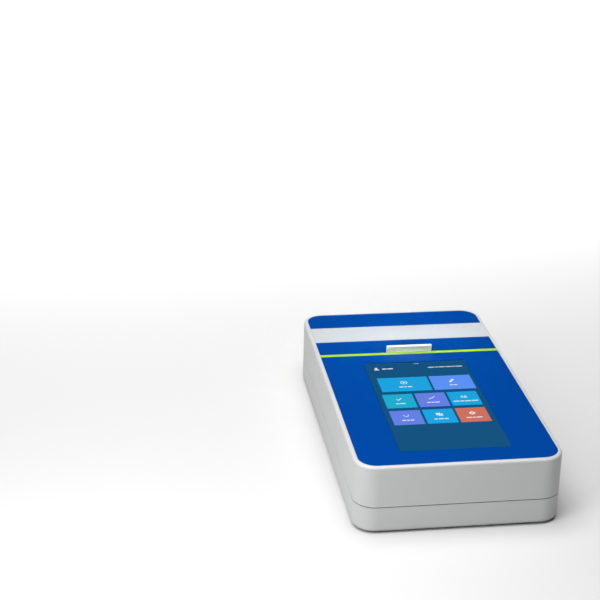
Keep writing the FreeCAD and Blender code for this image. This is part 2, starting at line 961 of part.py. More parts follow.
def lid_overlay():
    gap = panel_gap
    radius = corner_radius - panel_rim - gap
    sheet = plate(
        -panel_half_width + gap, panel_half_width - gap, lid_front_y, rear_y - panel_rim - gap,
        panel_seat_z, top_z, 0.0, radius)
    half = handle_width / 2.0 + panel_gap
    notch = box(
        -half, half, lid_front_y - past, handle_rear_y() + panel_gap,
        panel_seat_z - past, top_z + past)
    return sheet.cut([notch, band_groove()])


def band_edges():
    half = panel_half_width - panel_gap
    y0 = strip_front_y + band_front
    return -half, half, y0, y0 + band_width


def band_groove():
    x0, x1, y0, y1 = band_edges()
    return box(x0 - past, x1 + past, y0, y1, top_z - band_depth, top_z + past)


def lid_band():
    x0, x1, y0, y1 = band_edges()
    return box(x0, x1, y0, y1, top_z - band_depth, top_z)


def handle_rear_y():
    return lid_front_y + handle_base_depth


def handle_peg_y():
    return lid_front_y + handle_base_depth / 2.0


def handle_peg_places():
    return [-handle_peg_spacing, 0.0, handle_peg_spacing]


def lid_handle():
    """Finger tab on the lid's front edge, with a lip in front and a cheek at each end."""
    half = handle_width / 2.0
    lip_y = lid_front_y - handle_lip
    high = top_z + handle_height
    crest = high + handle_front_rise
    over_strip = top_z + handle_strip_gap
    lip_under = crest - handle_lip_thickness
    back_top_y = handle_rear_y() - handle_lean
    tab = polygon_face([
        vector(-half, lid_front_y, panel_seat_z),
        vector(-half, lid_front_y, over_strip),
        vector(-half, lip_y, lip_under),
        vector(-half, lip_y, crest),
        vector(-half, back_top_y, high),
        vector(-half, handle_rear_y(), top_z),
        vector(-half, handle_rear_y(), panel_seat_z),
    ]).extrude(vector(handle_width, 0, 0))
    plan = outline(
        -half, half, lip_y, handle_rear_y(), panel_seat_z,
        handle_front_corner_radius, handle_rear_corner_radius)
    tab = tab.common(Part.Face(plan).extrude(vector(0, 0, crest - panel_seat_z)))
    tab = tab.makeFillet(handle_edge_radius, [
        edge for edge in tab.Edges if edge.BoundBox.ZMin > high - sunk / 5.0
    ])
    inner = half - handle_cheek
    scoop = polygon_face([
        vector(-inner, lip_y - past, top_z),
        vector(-inner, lid_front_y, top_z),
        vector(-inner, lid_front_y - handle_wall_lean, lip_under - handle_under_fall),
        vector(-inner, lip_y, lip_under),
        vector(-inner, lip_y - past, lip_under),
    ]).extrude(vector(inner * 2.0, 0, 0))
    tab = tab.cut(scoop)
    pegs = [
        rod(
            handle_peg_radius,
            vector(x, handle_peg_y(), lid_plate_under_z), vector(x, handle_peg_y(), panel_seat_z + sunk))
        for x in handle_peg_places()
    ]
    return fused([tab] + pegs)


def hinge_pins():
    pins = []
    for side in (-1.0, 1.0):
        inner = vector(side * (flap_half - pin_inner_length + pin_end_room), pivot_y, pivot_z)
        outer = vector(side * (pocket_half + pin_cheek_length), pivot_y, pivot_z)
        pin = rod(pin_radius, inner, outer)
        pins.append(pin.makeChamfer(0.2, pin.Edges))
    return pins


def hinge_bushes():
    bushes = []
    for side in (-1.0, 1.0):
        outer = vector(side * (flap_half - bush_inset), pivot_y, pivot_z)
        inner = vector(side * (flap_half - bush_inset - bush_length), pivot_y, pivot_z)
        sleeve = rod(bush_outer_radius, inner, outer)
        bore = rod(pin_radius + running_clearance, inner, outer)
        bushes.append(sleeve.cut(bore))
    return bushes


def lid_magnets():
    return [
        rod(magnet_radius, vector(x, y, liner_top_z), vector(x, y, liner_top_z + magnet_thickness))
        for x, y in magnet_places()
    ]


def catch_plates():
    return [
        rod(catch_plate_radius, vector(x, y, shelf_z - catch_plate_thickness), vector(x, y, shelf_z))
        for x, y in magnet_places()
    ]


def well_flange_top_z():
    return liner_z - collar_drop


def light_seal():
    low = well_flange_top_z() + seal_clearance
    ring = rod(seal_outer_radius, vector(0, well_y, low), vector(0, well_y, liner_z))
    hole = rod(seal_inner_radius, vector(0, well_y, low - past), vector(0, well_y, liner_z + past))
    ring = ring.cut(hole)
    return ring.makeChamfer(seal_edge, level_edges(ring, low))


def drafted_pocket(half_x, y0, y1, z0, z1, radius, draft):
    """Pocket with round corners whose walls lean out towards the top."""
    inner = radius - draft
    low = outline(-half_x + draft, half_x - draft, y0 + draft, y1 - draft, z0, inner, inner)
    high = outline(-half_x, half_x, y0, y1, z1, radius, radius)
    return Part.makeLoft([low, high], True, True)


def sample_deck():
    half = deck_width / 2.0
    radius = deck_corner_radius
    flange = plate(
        -half, half, deck_front_y, deck_rear_y,
        shelf_z - deck_flange_thickness, shelf_z, radius, radius)
    step = deck_flange_width + deck_clearance
    under = deck_floor_z - deck_wall
    tray = drafted_pocket(
        half - step, deck_front_y + step, deck_rear_y - step,
        under, shelf_z, radius - step, deck_draft)
    body = fused([flange, tray])
    inner = step + deck_wall
    recess = drafted_pocket(
        half - inner, deck_front_y + inner, deck_rear_y - inner,
        deck_floor_z, shelf_z + past, radius - inner + deck_draft, deck_draft)
    body = body.cut(recess)
    seat = well_flange_top_z() - well_flange_thickness
    collar = Part.makeCone(
        collar_radius + collar_draft, collar_radius, seat - deck_floor_z + sunk,
        vector(0, well_y, deck_floor_z - sunk), vector(0, 0, 1))
    body = fused([body, collar])
    hole = rod(
        well_sleeve_radius + deck_clearance,
        vector(0, well_y, under - past), vector(0, well_y, shelf_z + past))
    return body.cut(hole)


def tube_well():
    """Holder for one small tube: straight bore, tapered tip and two light windows."""
    top = well_flange_top_z()
    seat = top - well_flange_thickness
    bottom = well_bottom_z()
    centre = vector(0, well_y, 0)
    flange = rod(well_flange_radius, centre + vector(0, 0, seat), centre + vector(0, 0, top))
    sleeve = rod(well_sleeve_radius, centre + vector(0, 0, bottom), centre + vector(0, 0, seat + sunk))
    holder = fused([flange, sleeve])
    holder = holder.makeChamfer(0.4, level_edges(holder, bottom))
    straight_z = top - well_straight_depth
    tip_z = top - well_total_depth
    bore = rod(well_bore_radius, centre + vector(0, 0, straight_z), centre + vector(0, 0, top + past))
    taper = Part.makeCone(
        well_tip_radius, well_bore_radius, straight_z - tip_z,
        centre + vector(0, 0, tip_z), vector(0, 0, 1))
    lead = Part.makeCone(
        well_bore_radius, well_bore_radius + well_lead_in, well_lead_in,
        centre + vector(0, 0, top - well_lead_in), vector(0, 0, 1))
    window_z = tip_z + well_window_height
    reach = well_sleeve_radius + past
    across = rod(
        well_window_radius,
        centre + vector(-reach, 0, window_z), centre + vector(reach, 0, window_z))
    forward = rod(
        well_window_radius,
        centre + vector(0, -reach, window_z), centre + vector(0, 0, window_z))
    return holder.cut([bore, taper, lead, across, forward])


def light_axis_z():
    return well_flange_top_z() - well_total_depth + well_window_height


def optics_block():
    x0, x1, y0, y1 = optics_edges()
    z0 = optics_bottom_z()
    z1 = optics_top_z()
    block = plate(x0, x1, y0, y1, z0, z1, 3.0, 3.0)
    axis = light_axis_z()
    cuts = [rod(
        well_sleeve_radius + optics_bore_clearance,
        vector(0, well_y, z0 + optics_floor), vector(0, well_y, z1 + past))]
    cuts.append(rod(light_bore_radius, vector(x0, well_y, axis), vector(x1, well_y, axis)))
    cuts.append(rod(light_bore_radius, vector(0, well_y, axis), vector(0, y0, axis)))
    for side in (-1.0, 1.0):
        face = side * optics_width / 2.0
        cuts.append(rod(
            filter_radius + seat_clearance,
            vector(face + side, well_y, axis),
            vector(face - side * filter_depth, well_y, axis)))
    cuts.append(rod(
        lens_radius + seat_clearance, vector(0, y0 - past, axis), vector(0, y0 + lens_depth, axis)))
    for x, y in optics_screw_places():
        cuts.append(rod(
            optics_screw_radius + screw_clearance, vector(x, y, z0 - past), vector(x, y, z1 + past)))
        cuts.append(rod(
            optics_screw_head_radius + screw_clearance,
            vector(x, y, z1 - optics_screw_sink), vector(x, y, z1 + past)))
    return block.cut(cuts)


def optics_screws():
    seat = optics_top_z() - optics_screw_sink
    length = seat - optics_bottom_z() + optics_screw_grip
    return [
        pan_screw(
            x, y, seat, -1.0,
            optics_screw_radius, length, optics_screw_head_radius, optics_screw_head_height)
        for x, y in optics_screw_places()
    ]


def excitation_filters():
    discs = []
    for side in (-1.0, 1.0):
        inner = side * (optics_width / 2.0 - filter_depth)
        discs.append(rod(
            filter_radius,
            vector(inner, well_y, light_axis_z()),
            vector(inner + side * filter_thickness, well_y, light_axis_z())))
    return discs


def excitation_leds():
    lamps = []
    for side in (-1.0, 1.0):
        face = side * optics_width / 2.0
        straight = led_length - led_radius
        end = vector(face - side * straight, well_y, light_axis_z())
        body = rod(led_radius, vector(face, well_y, light_axis_z()), end)
        dome = Part.makeSphere(led_radius, end)
        half = box(
            min(end.x, end.x - side * led_radius), max(end.x, end.x - side * led_radius),
            well_y - led_radius, well_y + led_radius,
            light_axis_z() - led_radius, light_axis_z() + led_radius)
        lamps.append(fused([body, dome.common(half)]))
    return lamps


def led_boards():
    boards = []
    half = led_board_size / 2.0
    for side in (-1.0, 1.0):
        face = side * optics_width / 2.0
        outer = face + side * led_board_thickness
        boards.append(box(
            min(face, outer), max(face, outer), well_y - half, well_y + half,
            light_axis_z() - half * 0.8, light_axis_z() + half))
    return boards


def detector_lens():
    """Plano-convex lens in front of the detector."""
    axis = light_axis_z()
    y0 = optics_edges()[2] + lens_depth - lens_thickness
    crown_y = y0 + lens_thickness
    edge_y = crown_y - lens_bulge
    ball_radius = (lens_radius ** 2 + lens_bulge ** 2) / (2.0 * lens_bulge)
    half = lens_radius / 2.0
    middle_y = crown_y - ball_radius + math.sqrt(ball_radius ** 2 - half ** 2)
    profile = Part.Wire([
        Part.LineSegment(vector(0, y0, axis), vector(lens_radius, y0, axis)).toShape(),
        Part.LineSegment(vector(lens_radius, y0, axis), vector(lens_radius, edge_y, axis)).toShape(),
        Part.Arc(
            vector(lens_radius, edge_y, axis), vector(half, middle_y, axis),
            vector(0, crown_y, axis)).toShape(),
        Part.LineSegment(vector(0, crown_y, axis), vector(0, y0, axis)).toShape(),
    ])
    return Part.Face(profile).revolve(vector(0, 0, axis), vector(0, 1, 0), 360.0)


def emission_filter():
    axis = light_axis_z()
    y1 = optics_edges()[2] + lens_depth - lens_thickness
    return rod(lens_radius, vector(0, y1 - filter_thickness, axis), vector(0, y1, axis))


def detector_board():
    y1 = optics_edges()[2]
    half = led_board_size * 0.6
    axis = light_axis_z()
    return box(-half, half, y1 - board_thickness, y1, axis - half * 0.7, axis + half)


def photodiode():
    y0 = optics_edges()[2]
    half = photodiode_size / 2.0
    axis = light_axis_z()
    return box(-half, half, y0, y0 + photodiode_thickness, axis - half, axis + half)


def main_board():
    x0, x1, y0, y1 = main_board_edges()
    board = plate(x0, x1, y0, y1, board_z, board_z + board_thickness, 3.0, 3.0)
    holes = [
        rod(
            board_screw_radius + screw_clearance,
            vector(x, y, board_z - past), vector(x, y, board_z + board_thickness + past))
        for x, y in main_board_screw_places()
    ]
    return board.cut(holes)


def board_screws():
    screws = []
    for x, y in main_board_screw_places():
        screws.append(pan_screw(
            x, y, board_z + board_thickness, -1.0, board_screw_radius,
            board_screw_length, board_screw_head_radius, board_screw_head_height))
    for x, y in power_board_screw_places():
        screws.append(pan_screw(
            x, y, power_board_z() + board_thickness, -1.0, board_screw_radius,
            power_board_z() + board_thickness - floor_z, board_screw_head_radius,
            board_screw_head_height))
    return screws


def on_main_board(across, along, width, length, height):
    """Block part on the main board, its centre given as shares of the board's half sizes."""
    x0, x1, y0, y1 = main_board_edges()
    x = (x0 + x1) / 2.0 + across * (x1 - x0) / 2.0
    y = (y0 + y1) / 2.0 + along * (y1 - y0) / 2.0
    z = board_z + board_thickness
    return box(x - width / 2.0, x + width / 2.0, y - length / 2.0, y + length / 2.0, z, z + height)


def board_chips():
    chips = [
        on_main_board(across, along, chip_unit * wide, chip_unit * long, chip_height)
        for across, along, wide, long in chip_layout
    ]
    return chips


def board_connectors():
    return [display_connector(), lead_connector(), optics_connector()]


def display_connector():
    return on_main_board(
        display_connector_across, display_connector_along,
        ribbon_width + connector_margin * 2.0, connector_depth, connector_height)


def rear_connector(x, width):
    """Connector at the main board's rear edge."""
    z = board_z + board_thickness
    y1 = main_board_edges()[3]
    return box(x - width / 2.0, x + width / 2.0, y1 - connector_depth, y1, z, z + connector_height)


def lead_connector():
    return rear_connector(switch_offset_x + lead_shift, terminal_spacing + connector_margin * 2.0)


def optics_connector():
    return rear_connector(0.0, led_board_size)


def shield_can():
    place = on_main_board(can_across, 0.0, can_size, can_size, can_height).BoundBox
    front = ribbon_fall_y() + can_ribbon_gap
    can = box(place.XMin, place.XMax, front, front + can_size, place.ZMin, place.ZMax)
    return can.makeFillet(can_edge_radius, level_edges(can, place.ZMax))


def buzzer():
    place = on_main_board(
        buzzer_across, buzzer_along, buzzer_radius * 2.0, buzzer_radius * 2.0, buzzer_height)
    middle = place.BoundBox.Center
    base = vector(middle.x, middle.y, place.BoundBox.ZMin)
    top = vector(middle.x, middle.y, place.BoundBox.ZMax)
    body = rod(buzzer_radius, base, top)
    hole = rod(buzzer_hole_radius, top - vector(0, 0, buzzer_hole_depth), top + vector(0, 0, past))
    return body.cut(hole)


def power_board():
    x0, x1, y0, y1 = power_board_edges()
    z = power_board_z()
    board = box(x0, x1, y0, y1, z, z + board_thickness)
    holes = [
        rod(
            board_screw_radius + screw_clearance,
            vector(x, y, z - past), vector(x, y, z + board_thickness + past))
        for x, y in power_board_screw_places()
    ]
    return board.cut(holes)


def dc_jack():
    x = jack_offset_x
    z = jack_axis_height
    inner = rear_y - wall
    z0 = z - jack_body_below_axis
    body = box(
        x - jack_body_width / 2.0, x + jack_body_width / 2.0,
        inner - jack_body_depth, inner, z0, z0 + jack_body_height)
    nose_y = rear_y - jack_nose_recess
    nose = rod(jack_nose_radius, vector(x, inner - past, z), vector(x, nose_y, z))
    socket = fused([body, nose])
    bore = rod(jack_bore_radius, vector(x, nose_y - jack_bore_depth, z), vector(x, nose_y + past, z))
    return socket.cut(bore)


def jack_pin():
    x = jack_offset_x
    z = jack_axis_height
    back = rear_y - jack_nose_recess - jack_bore_depth
    tip = vector(x, rear_y - jack_nose_recess - jack_pin_recess, z)
    pin = rod(jack_pin_radius, vector(x, back, z), tip)
    return pin.makeFillet(0.5, [
        edge for edge in pin.Edges
        if abs(edge.CenterOfMass.y - tip.y) < 1e-4 and len(edge.Vertexes) == 1
    ])


def rocker_pivot():
    y = rear_y + switch_bezel_thickness - rocker_pivot_depth - switch_bezel_thickness
    return vector(switch_offset_x, y, switch_axis_height)


def switch_body():
    x = switch_offset_x
    z = switch_axis_height
    half_w = switch_bezel_width / 2.0
    half_h = switch_bezel_height / 2.0
    bezel = box(
        x - half_w, x + half_w, rear_y, rear_y + switch_bezel_thickness, z - half_h, z + half_h)
    bezel = bezel.makeFillet(switch_bezel_radius, [
        edge for edge in bezel.Edges
        if abs(edge.CenterOfMass.y - rear_y - switch_bezel_thickness / 2.0) < 1e-4
    ])
    face_y = rear_y + switch_bezel_thickness
    bezel = bezel.makeFillet(0.4, [
        edge for edge in bezel.Edges
        if all(abs(vertex.Y - face_y) < 1e-4 for vertex in edge.Vertexes)
    ])
    half_bw = switch_body_width / 2.0
    half_bh = switch_body_height / 2.0
    barrel = box(
        x - half_bw, x + half_bw, rear_y - switch_body_depth, rear_y + sunk, z - half_bh, z + half_bh)
    body = fused([bezel, barrel])
    half_ow = rocker_half_width + rocker_end_room
    half_oh = rocker_height / 2.0 + rocker_side_gap
    room = box(
        x - half_ow, x + half_ow, face_y - rocker_well_depth, face_y + past, z - half_oh, z + half_oh)
    pivot = rocker_pivot()
    reach = rocker_height / 2.0 + rocker_pivot_length + rocker_pivot_room
    sockets = rod(
        rocker_pivot_radius + running_clearance,
        pivot + vector(0, 0, -reach), pivot + vector(0, 0, reach))
    return body.cut([room, sockets])


def switch_rocker():
    """Rocker drawn level, then tipped so that its left end is pressed."""
    rise = rocker_half_width * math.tan(math.radians(rocker_tilt))
    low = -rocker_keel
    half = rocker_half_width
    z0 = -rocker_height / 2.0
    face = polygon_face([
        vector(-half, low, z0),
        vector(half, low, z0),
        vector(half, rocker_crown + rise, z0),
        vector(0, rocker_crown, z0),
        vector(-half, rocker_crown + rise, z0),
    ])
    body = face.extrude(vector(0, 0, rocker_height))
    body = body.makeFillet(0.5, [
        edge for edge in body.Edges
        if edge.CenterOfMass.y > rocker_crown and abs(abs(edge.CenterOfMass.x) - half) < 1e-4
        and edge.Length > 5.0
    ])
    reach = rocker_height / 2.0 + rocker_pivot_length
    pivots = rod(rocker_pivot_radius, vector(0, 0, -reach), vector(0, 0, reach))
    rocker = fused([body, pivots])
    rocker.rotate(vector(0, 0, 0), vector(0, 0, 1), rocker_tilt)
    rocker.translate(rocker_pivot())
    return rocker


def terminal_places():
    return [switch_offset_x - terminal_spacing / 2.0, switch_offset_x + terminal_spacing / 2.0]


def switch_terminals():
    y1 = rear_y - switch_body_depth
    z = switch_axis_height
    return [
        box(
            x - terminal_thickness / 2.0, x + terminal_thickness / 2.0, y1 - terminal_length, y1,
            z - terminal_width / 2.0, z + terminal_width / 2.0)
        for x in terminal_places()
    ]


def tube_along(points, bend_radius, radius):
    """Round tube along straight runs joined by tangent arcs."""
    edges = []
    start = points[0]
    for index in range(1, len(points) - 1):
        corner = points[index]
        back = (points[index - 1] - corner).normalize()
        ahead = (points[index + 1] - corner).normalize()
        half_turn = (math.pi - back.getAngle(ahead)) / 2.0
        trim = bend_radius * math.tan(half_turn)
        entry = corner + back * trim
        leave = corner + ahead * trim
        bisector = (back + ahead).normalize()
        middle = corner + bisector * (bend_radius / math.cos(half_turn) - bend_radius)
        edges.append(Part.LineSegment(start, entry).toShape())
        edges.append(Part.Arc(entry, middle, leave).toShape())
        start = leave
    edges.append(Part.LineSegment(start, points[-1]).toShape())
    path = Part.Wire(edges)
    profile = Part.Wire(Part.makeCircle(radius, points[0], points[1] - points[0]))
    return path.makePipeShell([profile], True, False)


def switch_leads():
    """Two wires from the switch to the main board, side by side."""
    leads = []
    y1 = rear_y - switch_body_depth - terminal_length
    y0 = main_board_edges()[3]
    z = board_z + board_thickness + connector_height / 2.0
    for x in terminal_places():
        end_x = x + lead_shift
        leads.append(tube_along([
            vector(x, y1, switch_axis_height),
            vector(x, y1 - lead_straight, switch_axis_height),
            vector(end_x, y0 + lead_straight, z),
            vector(end_x, y0, z),
        ], lead_bend_radius, lead_radius))
    return leads


def ribbon_fall_y():
    """Where the ribbon's upright run stands."""
    return display_connector().BoundBox.YMax + ribbon_run


def display_ribbon():
    """Flat cable from the back of the display down to its connector."""
    connector = display_connector().BoundBox
    x0 = (connector.XMin + connector.XMax - ribbon_width) / 2.0
    x1 = x0 + ribbon_width
    r = ribbon_bend_radius
    t = ribbon_thickness
    z_high = module_back_z()
    z_low = (connector.ZMin + connector.ZMax) / 2.0
    y_in = connector.YMax
    y_fall = ribbon_fall_y()
    start_y = y_fall - ribbon_overlap
    points = [
        vector(x0, start_y, z_high - t / 2.0),
        vector(x0, y_fall, z_high - t / 2.0),
        vector(x0, y_fall, z_low),
        vector(x0, y_in, z_low),
    ]
    edges = []
    start = points[0]
    for index in (1, 2):
        corner = points[index]
        back = (points[index - 1] - corner).normalize()
        ahead = (points[index + 1] - corner).normalize()
        entry = corner + back * r
        leave = corner + ahead * r
        middle = corner + (back + ahead) * (r * (1.0 - math.sqrt(0.5)))
        edges.append(Part.LineSegment(start, entry).toShape())
        edges.append(Part.Arc(entry, middle, leave).toShape())
        start = leave
    edges.append(Part.LineSegment(start, points[-1]).toShape())
    profile = Part.makePolygon([
        vector(x0, start_y, z_high),
        vector(x1, start_y, z_high),
        vector(x1, start_y, z_high - t),
        vector(x0, start_y, z_high - t),
        vector(x0, start_y, z_high),
    ])
    return Part.Wire(edges).makePipeShell([profile], True, False)


def lid_sensor():
    """Small board under the shelf that senses the lid's magnet."""
    x, y = magnet_places()[0]
    half_x = sensor_board_width / 2.0
    half_y = sensor_board_length / 2.0
    board = box(
        x - half_x, x + half_x, y - half_y, y + half_y,
        shelf_under_z - sensor_board_thickness, shelf_under_z)
    half = sensor_chip_size / 2.0
    low = shelf_under_z - sensor_board_thickness
    chip = box(x - half, x + half, y - half, y + half, low - sensor_chip_thickness, low)
    return fused([board, chip])


os.makedirs("parts", exist_ok=True)
block = housing_block()
rocker = switch_rocker()
rear_overhang = rocker.optimalBoundingBox(True).YMax - rear_y
write("bottom_shell", bottom_shell(block))
write("top_shell", top_shell(block))
write_group("rubber_feet", rubber_feet())
write_group("case_screws", case_screws())
write("front_panel", front_panel())
write("touch_glass", touch_glass())
write("accent_strip", accent_strip())
write("display_frame", display_frame())
write("lcd_panel", lcd_panel())
write_group("display_brackets", display_brackets())
write_group("bracket_screws", [
    pan_screw(
        x, y, module_back_z(), 1.0, bracket_screw_radius, bracket_screw_length,
        bracket_screw_head_radius, bracket_screw_head_height)
    for x, y, side in bracket_screw_places()
])
write("lid_shell", lid_shell(block))
write("lid_overlay", lid_overlay())
write("lid_band", lid_band())
write("lid_handle", lid_handle())
write("lid_liner", lid_liner())
write_group("liner_screws", liner_screws())
write_group("lid_magnets", lid_magnets())
write("light_seal", light_seal())
write_group("hinge_pins", hinge_pins())
write_group("hinge_bushes", hinge_bushes())
write_group("catch_plates", catch_plates())
write("lid_sensor", lid_sensor())
write("sample_deck", sample_deck())
write("tube_well", tube_well())
write("optics_block", optics_block())
write_group("optics_screws", optics_screws())
write_group("excitation_filters", excitation_filters())
write_group("excitation_leds", excitation_leds())
write_group("led_boards", led_boards())
write("detector_lens", detector_lens())
write("emission_filter", emission_filter())
write("detector_board", detector_board())
write("photodiode", photodiode())
write("main_board", main_board())
write_group("board_chips", board_chips())
write_group("board_connectors", board_connectors())
write("shield_can", shield_can())
write("buzzer", buzzer())
write_group("board_screws", board_screws())
write("power_board", power_board())
write("dc_jack", dc_jack())
write("jack_pin", jack_pin())
write("switch_body", switch_body())
write("switch_rocker", rocker)
write_group("switch_terminals", switch_terminals())
write_group("switch_leads", switch_leads())
write("display_ribbon", display_ribbon())
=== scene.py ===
import math

import bmesh
import bpy
from mathutils import Matrix, Vector


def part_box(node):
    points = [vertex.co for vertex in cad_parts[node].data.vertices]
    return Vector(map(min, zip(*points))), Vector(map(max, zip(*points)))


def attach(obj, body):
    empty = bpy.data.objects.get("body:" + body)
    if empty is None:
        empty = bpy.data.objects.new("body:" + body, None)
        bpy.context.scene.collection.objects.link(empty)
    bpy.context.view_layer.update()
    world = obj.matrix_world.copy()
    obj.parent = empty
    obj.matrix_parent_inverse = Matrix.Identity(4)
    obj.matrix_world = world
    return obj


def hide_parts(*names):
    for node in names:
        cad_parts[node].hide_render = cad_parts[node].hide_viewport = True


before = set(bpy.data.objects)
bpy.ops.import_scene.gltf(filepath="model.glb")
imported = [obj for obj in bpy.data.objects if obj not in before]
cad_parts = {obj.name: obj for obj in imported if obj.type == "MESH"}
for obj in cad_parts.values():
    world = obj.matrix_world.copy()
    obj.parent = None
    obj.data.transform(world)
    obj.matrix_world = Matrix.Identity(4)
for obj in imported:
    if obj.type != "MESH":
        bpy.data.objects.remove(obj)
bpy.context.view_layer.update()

MM = 0.001


# Sizes read from the solids

LCD_LOW, LCD_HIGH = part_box("lcd_panel")
SCREEN_X = (LCD_LOW.x + LCD_HIGH.x) / 2.0
SCREEN_Y = (LCD_LOW.y + LCD_HIGH.y) / 2.0
LIT_BORDER = 0.1 * MM
FILM = 0.02 * MM


# Shader groups

FINE_DETAIL = 2.0
COARSE_DETAIL = 1.0
COARSE_SHARE = 0.35
PATCH_DETAIL = 4.0


def new_group(name, inputs, outputs):
    """Shader group with named inputs (name, default) and outputs (name, socket type)."""
    group = bpy.data.node_groups.new(name, "ShaderNodeTree")
    for label, default in inputs:
        socket = group.interface.new_socket(label, in_out="INPUT", socket_type="NodeSocketFloat")
        socket.default_value = default
    for label, kind in outputs:
        group.interface.new_socket(label, in_out="OUTPUT", socket_type=kind)
    return group, group.nodes.new("NodeGroupInput"), group.nodes.new("NodeGroupOutput")


def noise_node(tree, place, detail):
    noise = tree.nodes.new("ShaderNodeTexNoise")
    noise.inputs["Detail"].default_value = detail
    tree.links.new(place, noise.inputs["Vector"])
    return noise


def math_node(tree, operation, first, second):
    node = tree.nodes.new("ShaderNodeMath")
    node.operation = operation
    for socket, value in ((node.inputs[0], first), (node.inputs[1], second)):
        if isinstance(value, (int, float)):
            socket.default_value = value
        else:
            tree.links.new(value, socket)
    return node.outputs[0]


def moulded_grain_group():
    """Fine spark-eroded texture of a moulded case, as a height."""
    group, given, result = new_group(
        "Moulded Grain", [("Scale", 1800.0), ("Depth", 1.0)], [("Height", "NodeSocketFloat")])
    place = group.nodes.new("ShaderNodeTexCoord").outputs["Object"]
    fine = noise_node(group, place, FINE_DETAIL)
    group.links.new(given.outputs["Scale"], fine.inputs["Scale"])
    coarse = noise_node(group, place, COARSE_DETAIL)
    group.links.new(
        math_node(group, "MULTIPLY", given.outputs["Scale"], COARSE_SHARE),
        coarse.inputs["Scale"])
    both = math_node(group, "ADD", fine.outputs["Fac"], coarse.outputs["Fac"])
    height = math_node(group, "MULTIPLY", both, given.outputs["Depth"])
    group.links.new(height, result.inputs["Height"])
    return group


def handled_gloss_group():
    """Faint uneven polish left by wiping and fingers, as a roughness round a middle value."""
    group, given, result = new_group(
        "Handled Gloss", [("Roughness", 0.3), ("Amount", 0.05), ("Scale", 30.0)],
        [("Roughness", "NodeSocketFloat")])
    place = group.nodes.new("ShaderNodeTexCoord").outputs["Object"]
    patches = noise_node(group, place, PATCH_DETAIL)
    group.links.new(given.outputs["Scale"], patches.inputs["Scale"])
    centred = math_node(group, "SUBTRACT", patches.outputs["Fac"], 0.5)
    swing = math_node(group, "MULTIPLY", centred, given.outputs["Amount"])
    uneven = math_node(group, "ADD", swing, given.outputs["Roughness"])
    group.links.new(uneven, result.inputs["Roughness"])
    return group


GRAIN = moulded_grain_group()
GLOSS = handled_gloss_group()


# Materials

def plain_material(name, color, roughness, metallic=0.0, **extra):
    """Principled material with every value on its own socket."""
    material = bpy.data.materials.new(name)
    material.use_nodes = True
    shader = material.node_tree.nodes["Principled BSDF"]
    shader.inputs["Base Color"].default_value = (*color, 1.0)
    shader.inputs["Roughness"].default_value = roughness
    shader.inputs["Metallic"].default_value = metallic
    for label, value in extra.items():
        shader.inputs[label.replace("_", " ")].default_value = value
    return material


def place_group(material, group, **values):
    node = material.node_tree.nodes.new("ShaderNodeGroup")
    node.node_tree = group
    for label, value in values.items():
        node.inputs[label].default_value = value
    return node


def add_grain(material, scale, depth, distance):
    tree = material.node_tree
    grain = place_group(material, GRAIN, Scale=scale, Depth=depth)
    bump = tree.nodes.new("ShaderNodeBump")
    bump.inputs["Distance"].default_value = distance
    tree.links.new(grain.outputs["Height"], bump.inputs["Height"])
    tree.links.new(bump.outputs["Normal"], tree.nodes["Principled BSDF"].inputs["Normal"])


def add_gloss(material, roughness, amount, scale):
    tree = material.node_tree
    gloss = place_group(material, GLOSS, Roughness=roughness, Amount=amount, Scale=scale)
    tree.links.new(gloss.outputs["Roughness"], tree.nodes["Principled BSDF"].inputs["Roughness"])


HOUSING_COLOR = (0.48, 0.487, 0.485)
PANEL_COLOR = (0.0, 0.043, 0.24)

housing = plain_material("Housing plastic", HOUSING_COLOR, 0.42)

panel_film = plain_material(
    "Blue panel film", PANEL_COLOR, 0.4, Specular_IOR_Level=0.1,
    Specular_Tint=(0.05, 0.35, 1.0, 1.0))

green_film = plain_material("Lime strip", (0.33, 0.58, 0.0), 0.35, Specular_IOR_Level=0.3)
white_film = plain_material("White band film", (0.438, 0.476, 0.495), 0.35, Specular_IOR_Level=0.3)
handle_plastic = plain_material("Handle plastic", (0.86, 0.87, 0.86), 0.35)
glass = plain_material(
    "Touch glass", (0.93, 0.97, 1.0), 0.03, Transmission_Weight=1.0, IOR=1.3)
module_black = plain_material("Display module", (0.02, 0.022, 0.025), 0.5)
liner_plastic = plain_material("Liner plastic", (0.11, 0.115, 0.12), 0.5)
deck_plastic = plain_material("Deck plastic", (0.09, 0.095, 0.105), 0.48)
black_plastic = plain_material("Black plastic", (0.012, 0.012, 0.014), 0.38)
anodised = plain_material("Black anodised aluminium", (0.03, 0.03, 0.034), 0.36, 0.85)
rubber = plain_material("Foot rubber", (0.02, 0.02, 0.02), 0.75)
foam = plain_material("Seal foam", (0.016, 0.016, 0.017), 0.95)
steel = plain_material("Plated steel", (0.58, 0.58, 0.57), 0.32, 1.0)
sheet_steel = plain_material("Sheet steel", (0.6, 0.6, 0.6), 0.42, 1.0)
nickel = plain_material("Magnet nickel", (0.72, 0.71, 0.68), 0.18, 1.0)
bronze = plain_material("Sintered bronze", (0.5, 0.29, 0.1), 0.45, 1.0)
brass = plain_material("Terminal brass", (0.7, 0.5, 0.2), 0.3, 1.0)
board = plain_material("Board green", (0.008, 0.09, 0.035), 0.35)
chip = plain_material("Chip black", (0.015, 0.015, 0.016), 0.45)
connector = plain_material("Connector white", (0.68, 0.66, 0.56), 0.45)
insulation = plain_material("Lead insulation", (0.35, 0.01, 0.012), 0.45)
ribbon = plain_material("Ribbon film", (0.45, 0.2, 0.03), 0.35)
lens_glass = plain_material("Lens glass", (0.95, 0.98, 1.0), 0.02, Transmission_Weight=1.0, IOR=1.5)
blue_glass = plain_material("Blue filter glass", (0.1, 0.25, 0.85), 0.05, Transmission_Weight=1.0)
